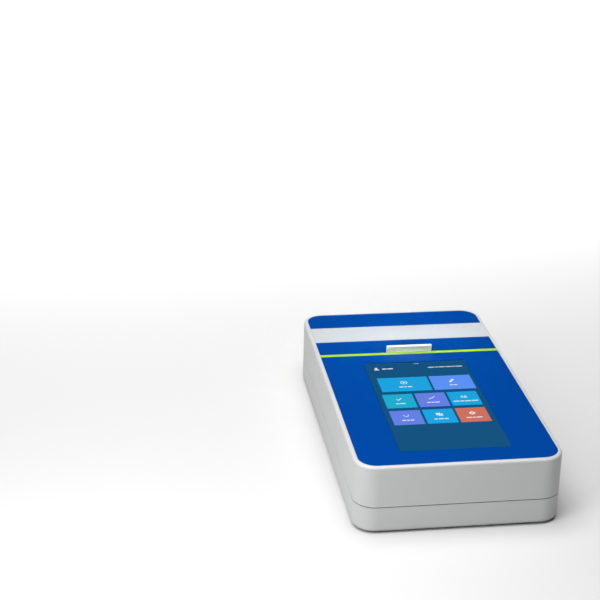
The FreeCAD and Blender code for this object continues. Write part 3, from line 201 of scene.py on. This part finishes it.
orange_glass = plain_material(
    "Orange filter glass", (0.9, 0.4, 0.03), 0.05, Transmission_Weight=1.0)

# Moulded, cast or woven texture: grains per metre, and the height of the relief
GRAINED = (
    (housing, 1500.0, 0.02 * MM), (handle_plastic, 1900.0, 0.008 * MM),
    (liner_plastic, 1300.0, 0.03 * MM), (deck_plastic, 1300.0, 0.03 * MM),
    (black_plastic, 1900.0, 0.012 * MM), (rubber, 900.0, 0.05 * MM), (foam, 1100.0, 0.25 * MM),
    (anodised, 2600.0, 0.006 * MM), (board, 500.0, 0.015 * MM), (chip, 2400.0, 0.008 * MM),
    (connector, 1900.0, 0.01 * MM), (insulation, 1200.0, 0.01 * MM),
)
# Uneven polish: middle roughness, swing, and patches per metre
POLISHED = (
    (housing, 0.42, 0.08, 25.0), (panel_film, 0.38, 0.06, 18.0), (green_film, 0.35, 0.06, 40.0),
    (white_film, 0.35, 0.06, 18.0), (handle_plastic, 0.35, 0.1, 90.0),
    (liner_plastic, 0.5, 0.08, 30.0), (deck_plastic, 0.48, 0.1, 45.0),
    (black_plastic, 0.38, 0.1, 120.0), (rubber, 0.75, 0.1, 150.0), (anodised, 0.36, 0.12, 160.0),
    (steel, 0.32, 0.14, 220.0), (sheet_steel, 0.42, 0.14, 60.0), (nickel, 0.18, 0.08, 200.0),
    (bronze, 0.45, 0.12, 260.0), (brass, 0.3, 0.12, 200.0), (board, 0.35, 0.1, 80.0),
    (ribbon, 0.35, 0.08, 70.0),
)
for finish, scale, height in GRAINED:
    add_grain(finish, scale, 1.0, height)
for finish, roughness, amount, scale in POLISHED:
    add_gloss(finish, roughness, amount, scale)

NODE_FINISH = {
    "bottom_shell": housing, "top_shell": housing, "lid_shell": housing,
    "front_panel": panel_film, "lid_overlay": panel_film,
    "touch_glass": glass, "accent_strip": green_film, "lid_band": white_film,
    "lid_handle": handle_plastic, "lid_liner": liner_plastic, "light_seal": foam,
    "rubber_feet": rubber, "case_screws": steel, "display_frame": sheet_steel,
    "lcd_panel": module_black, "display_brackets": sheet_steel, "bracket_screws": steel,
    "liner_screws": steel, "lid_magnets": nickel, "hinge_pins": steel,
    "hinge_bushes": bronze, "catch_plates": steel, "lid_sensor": board,
    "sample_deck": deck_plastic, "tube_well": anodised, "optics_block": anodised,
    "optics_screws": steel, "excitation_filters": blue_glass, "excitation_leds": lens_glass,
    "led_boards": board, "detector_lens": lens_glass, "emission_filter": orange_glass,
    "detector_board": board, "photodiode": chip, "main_board": board, "board_chips": chip,
    "board_connectors": connector, "shield_can": sheet_steel, "buzzer": black_plastic,
    "board_screws": steel, "power_board": board, "dc_jack": black_plastic, "jack_pin": steel,
    "switch_body": black_plastic, "switch_rocker": black_plastic,
    "switch_terminals": brass, "switch_leads": insulation, "display_ribbon": ribbon,
}


def dress_nodes():
    for name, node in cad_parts.items():
        node.data.materials.clear()
        node.data.materials.append(NODE_FINISH[name])


# Meshes

def new_piece(name, mesh_maker, material):
    """Object at the world origin whose mesh is filled by mesh_maker(bmesh)."""
    mesh = bpy.data.meshes.new(name)
    shape = bmesh.new()
    mesh_maker(shape)
    bmesh.ops.recalc_face_normals(shape, faces=shape.faces)
    shape.to_mesh(mesh)
    shape.free()
    mesh.materials.append(material)
    piece = bpy.data.objects.new(name, mesh)
    bpy.context.scene.collection.objects.link(piece)
    return piece


def add_slab(shape, outline, low, high):
    """Closed slab with the given plan outline between two heights."""
    under = [shape.verts.new((x, y, low)) for x, y in outline]
    over = [shape.verts.new((x, y, high)) for x, y in outline]
    shape.faces.new(under[::-1])
    shape.faces.new(over)
    count = len(outline)
    for index in range(count):
        after = (index + 1) % count
        shape.faces.new((under[index], under[after], over[after], over[index]))


def rectangle(x0, x1, y0, y1):
    return [(x0, y0), (x1, y0), (x1, y1), (x0, y1)]


def on_circle(x, y, radius, degrees):
    angle = math.radians(degrees)
    return x + radius * math.cos(angle), y + radius * math.sin(angle)


def circle(x, y, radius, sides=24):
    return [on_circle(x, y, radius, 360.0 * index / sides) for index in range(sides)]


def ring_outlines(x, y, inner, outer, start=0.0, turn=360.0, sides=28):
    """Short four-cornered outlines that together make a ring or the part of one."""
    outlines = []
    for index in range(sides):
        first = start + turn * index / sides
        second = start + turn * (index + 1) / sides
        outlines.append([
            on_circle(x, y, inner, first), on_circle(x, y, outer, first),
            on_circle(x, y, outer, second), on_circle(x, y, inner, second),
        ])
    return outlines


# The lit screen

SCREEN_BASE = LCD_HIGH.z + 0.01 * MM
TILE_BASE = SCREEN_BASE + FILM
MARK_BASE = TILE_BASE + FILM


def lit(name, color, strength=1.2):
    """Material of one colour of the lit picture."""
    return plain_material(
        name, (0.0, 0.0, 0.0), 0.3, Specular_IOR_Level=0.0, Emission_Color=(*color, 1.0),
        Emission_Strength=strength)


SCREEN_TEAL = lit("Screen teal", (0.0065, 0.083, 0.205))
AZURE = lit("Tile azure", (0.011, 0.366, 0.71))
PERIWINKLE = lit("Tile periwinkle", (0.108, 0.283, 0.87))
TEAL = lit("Tile teal", (0.014, 0.405, 0.6))
VIOLET = lit("Tile violet", (0.13, 0.213, 0.74))
CORAL = lit("Tile coral", (0.64, 0.16, 0.11))
LIT_WHITE = lit("Lit white", (0.78, 0.83, 0.88))

# Tiles of the menu: name, colour, left, right, front and rear in millimetres from the screen's
# middle, the mark on the tile, and the blocks that stand for its label
TILES = [
    ("tile_run", AZURE, (-37.0, 4.6, 24.4, 49.8), "start", (3.4, 2.0, 3.6)),
    ("tile_read", PERIWINKLE, (6.4, 41.0, 24.4, 49.8), "tube", (2.4, 3.0)),
    ("tile_tests", TEAL, (-38.5, -14.0, -4.8, 19.4), "tick", (2.6, 4.2)),
    ("tile_curve", VIOLET, (-12.0, 12.6, -4.8, 19.4), "curve", (3.0, 2.2, 3.8)),
    ("tile_users", AZURE, (14.6, 39.0, -4.8, 19.4), "pair", (5.0, 3.4, 4.6, 5.2)),
    ("tile_store", VIOLET, (-38.5, -14.0, -33.5, -9.5), "tray", (3.2, 2.0, 3.0)),
    ("tile_copy", AZURE, (-12.0, 12.6, -33.5, -9.5), "sheets", (2.8, 4.0, 3.2)),
    ("tile_setup", CORAL, (14.6, 39.0, -33.5, -9.5), "wheel", (4.4, 2.2, 4.6)),
]
MARK_SIZE = {
    "start": 0.86, "tube": 1.0, "tick": 0.74, "curve": 0.72, "pair": 0.68, "tray": 0.7,
    "sheets": 0.86, "wheel": 0.76,
}
MARK_SHARE = 0.62
LABEL_SHARE = 0.31
LABEL_HEIGHT = 1.4
LABEL_GAP = 0.7

screen_pieces = []


def local_slab(shape, points, base=MARK_BASE):
    """Film whose outline is in millimetres from the screen's middle."""
    add_slab(
        shape, [(SCREEN_X + x * MM, SCREEN_Y + y * MM) for x, y in points], base, base + FILM)


def stroke(shape, start, end, width):
    """Straight mark with square ends."""
    run = Vector(end) - Vector(start)
    side = Vector((-run.y, run.x)).normalized() * width / 2.0
    a, b = Vector(start), Vector(end)
    local_slab(shape, [tuple(a - side), tuple(b - side), tuple(b + side), tuple(a + side)])


def ring(shape, x, y, inner, outer, start=0.0, turn=360.0, sides=28):
    """Ring, or the part of one, drawn as a band of short films."""
    for outline in ring_outlines(x, y, inner, outer, start, turn, sides):
        local_slab(shape, outline)


def person(shape, x, y, size):
    """Head and shoulders of a user sign."""
    half_width, half_height = size * 0.42, size * 0.42
    local_slab(shape, circle(x, y + size * 0.26, size * 0.22))
    arc = [on_circle(0.0, 0.0, 1.0, degrees) for degrees in range(0, 181, 15)]
    local_slab(shape, [(x + half_width * a, y - half_height + size * 0.4 * b) for a, b in arc])


def draw_mark(shape, kind, x, y):
    """One sign round (x, y), drawn large and then shrunk to its size."""
    before = len(shape.verts)
    if kind == "start":
        ring(shape, x, y, 2.6, 3.3)
        local_slab(shape, [(x - 1.0, y - 1.6), (x + 1.8, y), (x - 1.0, y + 1.6)])
    if kind == "tube":
        stroke(shape, (x - 2.0, y - 2.6), (x + 1.6, y + 2.2), 1.7)
        stroke(shape, (x + 0.7, y + 3.1), (x + 2.7, y + 1.6), 0.8)
    if kind == "tick":
        stroke(shape, (x - 2.8, y + 0.2), (x - 0.7, y - 2.2), 1.0)
        stroke(shape, (x - 1.0, y - 2.2), (x + 2.8, y + 2.6), 1.0)
    if kind == "curve":
        stroke(shape, (x - 3.6, y - 2.6), (x - 1.2, y - 0.6), 0.8)
        stroke(shape, (x - 1.2, y - 0.6), (x + 1.0, y + 0.4), 0.8)
        stroke(shape, (x + 1.0, y + 0.4), (x + 3.4, y + 2.8), 0.8)
        for offset_x, offset_y in ((-1.2, -0.6), (1.0, 0.4), (3.4, 2.8)):
            local_slab(shape, circle(x + offset_x, y + offset_y, 0.8, 14), MARK_BASE + FILM)
    if kind == "pair":
        person(shape, x - 1.9, y + 0.3, 4.8)
        person(shape, x + 2.0, y - 0.2, 5.2)
    if kind == "tray":
        ring(shape, x, y + 0.6, 2.0, 2.9, 180.0, 180.0, 16)
        stroke(shape, (x - 2.45, y + 0.5), (x - 2.45, y + 2.8), 0.9)
        stroke(shape, (x + 2.45, y + 0.5), (x + 2.45, y + 2.8), 0.9)
    if kind == "sheets":
        local_slab(shape, rectangle(x - 3.0, x + 1.0, y - 1.2, y + 3.0))
        local_slab(shape, rectangle(x + 1.6, x + 3.0, y - 2.8, y + 1.6))
        local_slab(shape, rectangle(x - 1.2, x + 1.6, y - 2.8, y - 1.8))
    if kind == "wheel":
        ring(shape, x, y, 1.2, 2.6)
        for step in range(6):
            way = Vector(on_circle(0.0, 0.0, 1.0, 30.0 + step * 60.0))
            middle = Vector((x, y))
            stroke(shape, tuple(middle + way * 2.5), tuple(middle + way * 3.5), 1.4)
    centre_x, centre_y = SCREEN_X + x * MM, SCREEN_Y + y * MM
    shape.verts.ensure_lookup_table()
    for vert in shape.verts[before:]:
        vert.co.x = centre_x + (vert.co.x - centre_x) * MARK_SIZE[kind]
        vert.co.y = centre_y + (vert.co.y - centre_y) * MARK_SIZE[kind]


def draw_blocks(shape, x, y, lengths, height, gap):
    """Row of short blocks, centred on x, in place of words."""
    total = sum(lengths) + gap * (len(lengths) - 1)
    left = x - total / 2.0
    for length in lengths:
        local_slab(shape, rectangle(left, left + length, y - height / 2.0, y + height / 2.0))
        left += length + gap


def build_screen():
    def background(shape):
        add_slab(
            shape,
            rectangle(
                LCD_LOW.x + LIT_BORDER, LCD_HIGH.x - LIT_BORDER,
                LCD_LOW.y + LIT_BORDER, LCD_HIGH.y - LIT_BORDER),
            SCREEN_BASE, SCREEN_BASE + FILM)

    screen_pieces.append(new_piece("screen_background", background, SCREEN_TEAL))
    for name, color, (x0, x1, y0, y1), _, _ in TILES:
        def tile(shape):
            local_slab(shape, rectangle(x0, x1, y0, y1), TILE_BASE)

        screen_pieces.append(new_piece(name, tile, color))

    def marks(shape):
        for _, _, (x0, x1, y0, y1), kind, label in TILES:
            x = (x0 + x1) / 2.0
            draw_mark(shape, kind, x, y0 + (y1 - y0) * MARK_SHARE)
            draw_blocks(shape, x, y0 + (y1 - y0) * LABEL_SHARE, label, LABEL_HEIGHT, LABEL_GAP)
        person(shape, -34.0, 67.4, 5.4)
        draw_blocks(shape, -24.5, 67.0, (3.6, 4.6), 1.7, 0.8)
        draw_blocks(shape, 24.5, 66.8, (5.4, 2.2, 5.0, 4.6, 2.0, 5.6), 1.2, 0.9)
        draw_blocks(shape, 1.5, 74.9, (1.4, 1.9), 0.6, 0.6)

    screen_pieces.append(new_piece("screen_marks", marks, LIT_WHITE))
    for piece in screen_pieces:
        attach(piece, "base")


# Loose parts of a solid

def loose_parts(name):
    """Lists of corner points, one for each separate solid of a node."""
    shape = bmesh.new()
    shape.from_mesh(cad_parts[name].data)
    bmesh.ops.remove_doubles(shape, verts=shape.verts, dist=1e-6)
    waiting = set(shape.verts)
    parts = []
    while waiting:
        stack = [waiting.pop()]
        points = []
        while stack:
            vert = stack.pop()
            points.append(vert.co.copy())
            for edge in vert.link_edges:
                other = edge.other_vert(vert)
                if other in waiting:
                    waiting.remove(other)
                    stack.append(other)
        parts.append(points)
    shape.free()
    return parts


# Screws

RIM_CATCH = 0.97
SHANK_START = 0.2 * MM

# Shares of the head's height and radius
RIM_HEIGHT = 0.55
CROWN_STEPS = (
    {"outer": 0.9, "inner": 1.0, "middle": 0.545, "depth": 0.255},
    {"outer": 0.68, "inner": 0.9, "middle": 0.795, "depth": 0.205},
)
RECESS_LENGTH = 1.1
RECESS_WIDTH = 0.24

HEAD_SIDES = 40
SHANK_SIDES = 28
SHANK_SINK = 0.1 * MM
TURN_SEED = 7


def screw_sizes(points):
    """Site, head radius, head height, shank radius and shank length of a screw, head down."""
    low = min(p.z for p in points)
    high = max(p.z for p in points)
    x = (min(p.x for p in points) + max(p.x for p in points)) / 2.0
    y = (min(p.y for p in points) + max(p.y for p in points)) / 2.0
    reach = [math.hypot(p.x - x, p.y - y) for p in points]
    head = max(reach)
    seat = max(p.z for p, r in zip(points, reach) if r > head * RIM_CATCH)
    shank = max(r for p, r in zip(points, reach) if p.z > seat + SHANK_START)
    return (x, y, seat), head, seat - low, shank, high - seat


def cross_screw_tree():
    """Geometry tree that sets one cross-recessed pan screw at every point of its mesh."""
    tree = bpy.data.node_groups.new("Cross Recess Screws", "GeometryNodeTree")
    for label, kind in (("Sites", "NodeSocketGeometry"), ("Head Radius", "NodeSocketFloat"),
                        ("Head Height", "NodeSocketFloat"), ("Shank Radius", "NodeSocketFloat"),
                        ("Shank Length", "NodeSocketFloat"), ("Seed", "NodeSocketInt"),
                        ("Metal", "NodeSocketMaterial")):
        tree.interface.new_socket(label, in_out="INPUT", socket_type=kind)
    tree.interface.new_socket("Screws", in_out="OUTPUT", socket_type="NodeSocketGeometry")
    nodes = tree.nodes
    link = tree.links.new
    given = nodes.new("NodeGroupInput").outputs
    result = nodes.new("NodeGroupOutput")

    def calc(operation, first, second):
        return math_node(tree, operation, first, second)

    def put(geometry, z):
        place = nodes.new("GeometryNodeTransform")
        link(geometry, place.inputs["Geometry"])
        lift = nodes.new("ShaderNodeCombineXYZ")
        link(z, lift.inputs["Z"])
        link(lift.outputs[0], place.inputs["Translation"])
        return place.outputs[0]

    def drum(radius, depth, sides):
        piece = nodes.new("GeometryNodeMeshCylinder")
        piece.inputs["Vertices"].default_value = sides
        link(radius, piece.inputs["Radius"])
        link(depth, piece.inputs["Depth"])
        return piece.outputs["Mesh"]

    rim_height = calc("MULTIPLY", given["Head Height"], RIM_HEIGHT)
    rim = put(
        drum(given["Head Radius"], rim_height, HEAD_SIDES), calc("MULTIPLY", rim_height, -0.5))
    crowns = []
    for step in CROWN_STEPS:
        crown = nodes.new("GeometryNodeMeshCone")
        crown.inputs["Vertices"].default_value = HEAD_SIDES
        link(calc("MULTIPLY", given["Head Radius"], step["outer"]), crown.inputs["Radius Top"])
        link(calc("MULTIPLY", given["Head Radius"], step["inner"]), crown.inputs["Radius Bottom"])
        link(calc("MULTIPLY", given["Head Height"], step["depth"]), crown.inputs["Depth"])
        turned = nodes.new("GeometryNodeTransform")
        turned.inputs["Rotation"].default_value = (math.pi, 0.0, 0.0)
        link(crown.outputs["Mesh"], turned.inputs["Geometry"])
        down = calc("MULTIPLY", given["Head Height"], -step["middle"])
        crowns.append(put(turned.outputs[0], down))
    shank = put(
        drum(given["Shank Radius"], calc("ADD", given["Shank Length"], SHANK_SINK), SHANK_SIDES),
        calc("MULTIPLY", calc("SUBTRACT", given["Shank Length"], SHANK_SINK), 0.5))
    whole = nodes.new("GeometryNodeMeshBoolean")
    whole.operation = "UNION"
    for geometry in (rim, *crowns, shank):
        link(geometry, whole.inputs["Mesh 2"])

    cut = nodes.new("GeometryNodeMeshBoolean")
    cut.operation = "DIFFERENCE"
    link(whole.outputs["Mesh"], cut.inputs["Mesh 1"])
    for long_side in (0, 1):
        bar = nodes.new("GeometryNodeMeshCube")
        size = nodes.new("ShaderNodeCombineXYZ")
        link(calc("MULTIPLY", given["Head Radius"], RECESS_LENGTH), size.inputs[long_side])
        link(calc("MULTIPLY", given["Head Radius"], RECESS_WIDTH), size.inputs[1 - long_side])
        link(given["Head Height"], size.inputs["Z"])
        link(size.outputs[0], bar.inputs["Size"])
        sunk = calc("MULTIPLY", given["Head Height"], -1.0)
        link(put(bar.outputs["Mesh"], sunk), cut.inputs["Mesh 2"])

    turn = nodes.new("FunctionNodeRandomValue")
    turn.data_type = "FLOAT_VECTOR"
    turn.inputs[0].default_value = (0.0, 0.0, 0.0)
    turn.inputs[1].default_value = (0.0, 0.0, math.pi / 2.0)
    link(given["Seed"], turn.inputs["Seed"])
    spread = nodes.new("GeometryNodeInstanceOnPoints")
    link(given["Sites"], spread.inputs["Points"])
    link(cut.outputs["Mesh"], spread.inputs["Instance"])
    link(turn.outputs[0], spread.inputs["Rotation"])
    real = nodes.new("GeometryNodeRealizeInstances")
    link(spread.outputs[0], real.inputs[0])
    metal = nodes.new("GeometryNodeSetMaterial")
    link(real.outputs[0], metal.inputs["Geometry"])
    link(given["Metal"], metal.inputs["Material"])
    link(metal.outputs[0], result.inputs[0])
    return tree


def grown(name, points, tree, **values):
    """Mesh that a geometry tree grows from the given points, as a plain object."""
    mesh = bpy.data.meshes.new(name)
    mesh.from_pydata(points, [], [])
    seed_object = bpy.data.objects.new(name, mesh)
    bpy.context.scene.collection.objects.link(seed_object)
    modifier = seed_object.modifiers.new("Growth", "NODES")
    modifier.node_group = tree
    sockets = {
        item.name: item.identifier for item in tree.interface.items_tree if item.in_out == "INPUT"}
    for label, value in values.items():
        modifier[sockets[label.replace("_", " ")]] = value
    graph = bpy.context.evaluated_depsgraph_get()
    plain = bpy.data.meshes.new_from_object(seed_object.evaluated_get(graph))
    seed_object.modifiers.remove(modifier)
    seed_object.data = plain
    return seed_object


def build_screws():
    tree = cross_screw_tree()
    for node, body in (("case_screws", "base"), ("liner_screws", "lid")):
        measured = [screw_sizes(points) for points in loose_parts(node)]
        _, head, height, shank, length = measured[0]
        screws = grown(
            "cross_" + node, [sizes[0] for sizes in measured], tree, Head_Radius=head,
            Head_Height=height, Shank_Radius=shank, Shank_Length=length, Seed=TURN_SEED,
            Metal=steel)
        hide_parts(node)
        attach(screws, body)


# Painted shade: a dark strip set back in the parting groove, standing in for the shadow of the gap

CORNER_RADIUS = 17.0 * MM
GROOVE_DEPTH = 0.6 * MM
GROOVE_HEIGHT = 0.7 * MM
SHADE_SETBACK = 0.28 * MM
SHADE_ROOM = 0.04 * MM


def round_rectangle(low, high, inset, steps=10):
    """Plan outline of the housing, drawn in by inset."""
    radius = CORNER_RADIUS - inset
    points = []
    for side_x, side_y, start in ((-1, -1, 180), (1, -1, 270), (1, 1, 0), (-1, 1, 90)):
        x = (high.x if side_x > 0 else low.x) - side_x * CORNER_RADIUS
        y = (high.y if side_y > 0 else low.y) - side_y * CORNER_RADIUS
        for step in range(steps + 1):
            points.append(on_circle(x, y, radius, start + 90.0 * step / steps))
    return points


def build_seam_shade():
    """Thin dark strip between the two case shells, set back in the groove round the housing:
    painted shade in place of the shadow of the gap.
    """
    low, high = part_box("top_shell")
    seam = low.z
    outer = round_rectangle(low, high, SHADE_SETBACK)
    inner = round_rectangle(low, high, GROOVE_DEPTH + SHADE_ROOM / 2.0)

    def band(shape):
        loops = []
        for outline, z in (
                (outer, seam - GROOVE_HEIGHT + SHADE_ROOM), (outer, seam - SHADE_ROOM),
                (inner, seam - SHADE_ROOM), (inner, seam - GROOVE_HEIGHT + SHADE_ROOM)):
            loops.append([shape.verts.new((x, y, z)) for x, y in outline])
        count = len(outer)
        for index, loop in enumerate(loops):
            following = loops[(index + 1) % 4]
            for step in range(count):
                after = (step + 1) % count
                shape.faces.new((loop[step], loop[after], following[after], following[step]))

    # The strip takes the black of the foot rubber to paint the shade of the groove; it is not a
    # seal.
    shade_strip = new_piece("seam_shade_strip", band, rubber)
    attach(shade_strip, "base")


# Marks on the switch

BAR_HALF_WIDTH = 0.28 * MM
BAR_HALF_HEIGHT = 1.4 * MM
RING_INNER = 0.85 * MM
RING_OUTER = 1.35 * MM
PRINT_LIFT = 0.01 * MM
PRINT_THICKNESS = 0.04 * MM


def build_switch_marks():
    """A bar on the pressed end of the rocker and a ring on the raised one."""
    low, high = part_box("switch_rocker")
    middle_x = (low.x + high.x) / 2.0
    middle_z = (low.z + high.z) / 2.0
    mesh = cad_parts["switch_rocker"].data
    planes = {}
    for side in (-1, 1):
        facing = [
            face for face in mesh.polygons
            if face.normal.y > 0.8 and (face.center.x - middle_x) * side > 0.0
        ]
        widest = max(facing, key=lambda face: face.area)
        across = [
            mesh.vertices[index].co.x for face in facing if face.normal.dot(widest.normal) > 0.9999
            for index in face.vertices
        ]
        planes[side] = (widest, (min(across) + max(across)) / 2.0)

    def lay(shape, side, outline):
        face, x = planes[side]
        along = face.normal.cross(Vector((0.0, 0.0, 1.0))).normalized()
        start = face.center + along * ((x - face.center.x) / along.x)
        start.z = middle_z
        under = [
            shape.verts.new(start + along * a + Vector((0.0, 0.0, b)) + face.normal * PRINT_LIFT)
            for a, b in outline
        ]
        over = [shape.verts.new(vert.co + face.normal * PRINT_THICKNESS) for vert in under]
        shape.faces.new(under[::-1])
        shape.faces.new(over)
        count = len(outline)
        for index in range(count):
            after = (index + 1) % count
            shape.faces.new((under[index], under[after], over[after], over[index]))

    def marks(shape):
        lay(shape, -1, rectangle(
            -BAR_HALF_WIDTH, BAR_HALF_WIDTH, -BAR_HALF_HEIGHT, BAR_HALF_HEIGHT))
        for outline in ring_outlines(0.0, 0.0, RING_INNER, RING_OUTER):
            lay(shape, 1, outline)

    piece = new_piece("switch_marks", marks, white_film)
    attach(piece, "rocker")


build_screen()
build_screws()
build_seam_shade()
build_switch_marks()
dress_nodes()


# Floor, lights and camera

BENCH_REACH = 6.0
BENCH_COLOR = (0.58, 0.58, 0.58)
STUDIO_GLOW = 0.012


def build_stage():
    corners = rectangle(-BENCH_REACH, BENCH_REACH, -BENCH_REACH, BENCH_REACH)
    mesh = bpy.data.meshes.new("Bench")
    mesh.from_pydata([(x, y, 0.0) for x, y in corners], [], [(0, 1, 2, 3)])
    bench = bpy.data.objects.new("Bench", mesh)
    bpy.context.scene.collection.objects.link(bench)
    mesh.materials.append(plain_material("Pale bench", BENCH_COLOR, 0.7))


def add_softbox(name, location, target, size, power, spread=180.0):
    lamp = bpy.data.lights.new(name, "AREA")
    lamp.shape = "RECTANGLE"
    lamp.size, lamp.size_y = size
    lamp.energy = power
    lamp.spread = math.radians(spread)
    holder = bpy.data.objects.new(name, lamp)
    bpy.context.scene.collection.objects.link(holder)
    holder.location = location
    holder.rotation_euler = (Vector(target) - Vector(location)).to_track_quat("-Z", "Y").to_euler()


def build_light():
    world = bpy.data.worlds.new("Studio")
    bpy.context.scene.world = world
    world.use_nodes = True
    background = world.node_tree.nodes["Background"]
    background.inputs["Color"].default_value = (1.0, 1.0, 1.0, 1.0)
    background.inputs["Strength"].default_value = STUDIO_GLOW
    add_softbox("Overhead softbox", (-0.25, -0.15, 1.65), (0.0, 0.0, 0.0), (1.6, 1.6), 42.0)
    add_softbox("Key softbox", (-0.34, -0.36, 0.33), (0.0, -0.06, 0.03), (0.24, 0.24), 1.6)
    add_softbox("Lid spot", (-0.1, -0.88, 0.98), (0.0, 0.06, 0.058), (0.06, 0.06), 0.033, 9.0)
    add_softbox("Backdrop softbox", (0.0, 1.7, 2.6), (0.0, 1.7, 0.0), (3.6, 1.5), 88.0, 52.0)


CAMERA_PLACE = Vector((-0.276552, -1.137105, 0.615822))
CAMERA_RIGHT = Vector((0.988016, -0.151934, 0.027223))
CAMERA_UP = Vector((0.030526, 0.365214, 0.930423))
CAMERA_BACK = Vector((-0.151305, -0.918441, 0.365475))


def build_camera():
    lens = bpy.data.cameras.new("Photo camera")
    lens.sensor_width = 36.0
    lens.lens = 94.21
    lens.shift_x = -0.0310
    lens.shift_y = -0.0652
    lens.clip_start, lens.clip_end = 0.05, 50.0
    camera = bpy.data.objects.new("Photo camera", lens)
    bpy.context.scene.collection.objects.link(camera)
    turn = Matrix((CAMERA_RIGHT, CAMERA_UP, CAMERA_BACK)).transposed().to_4x4()
    camera.matrix_world = Matrix.Translation(CAMERA_PLACE) @ turn
    bpy.context.scene.camera = camera


build_stage()
build_light()
build_camera()
bpy.context.scene.view_settings.view_transform = "Standard"
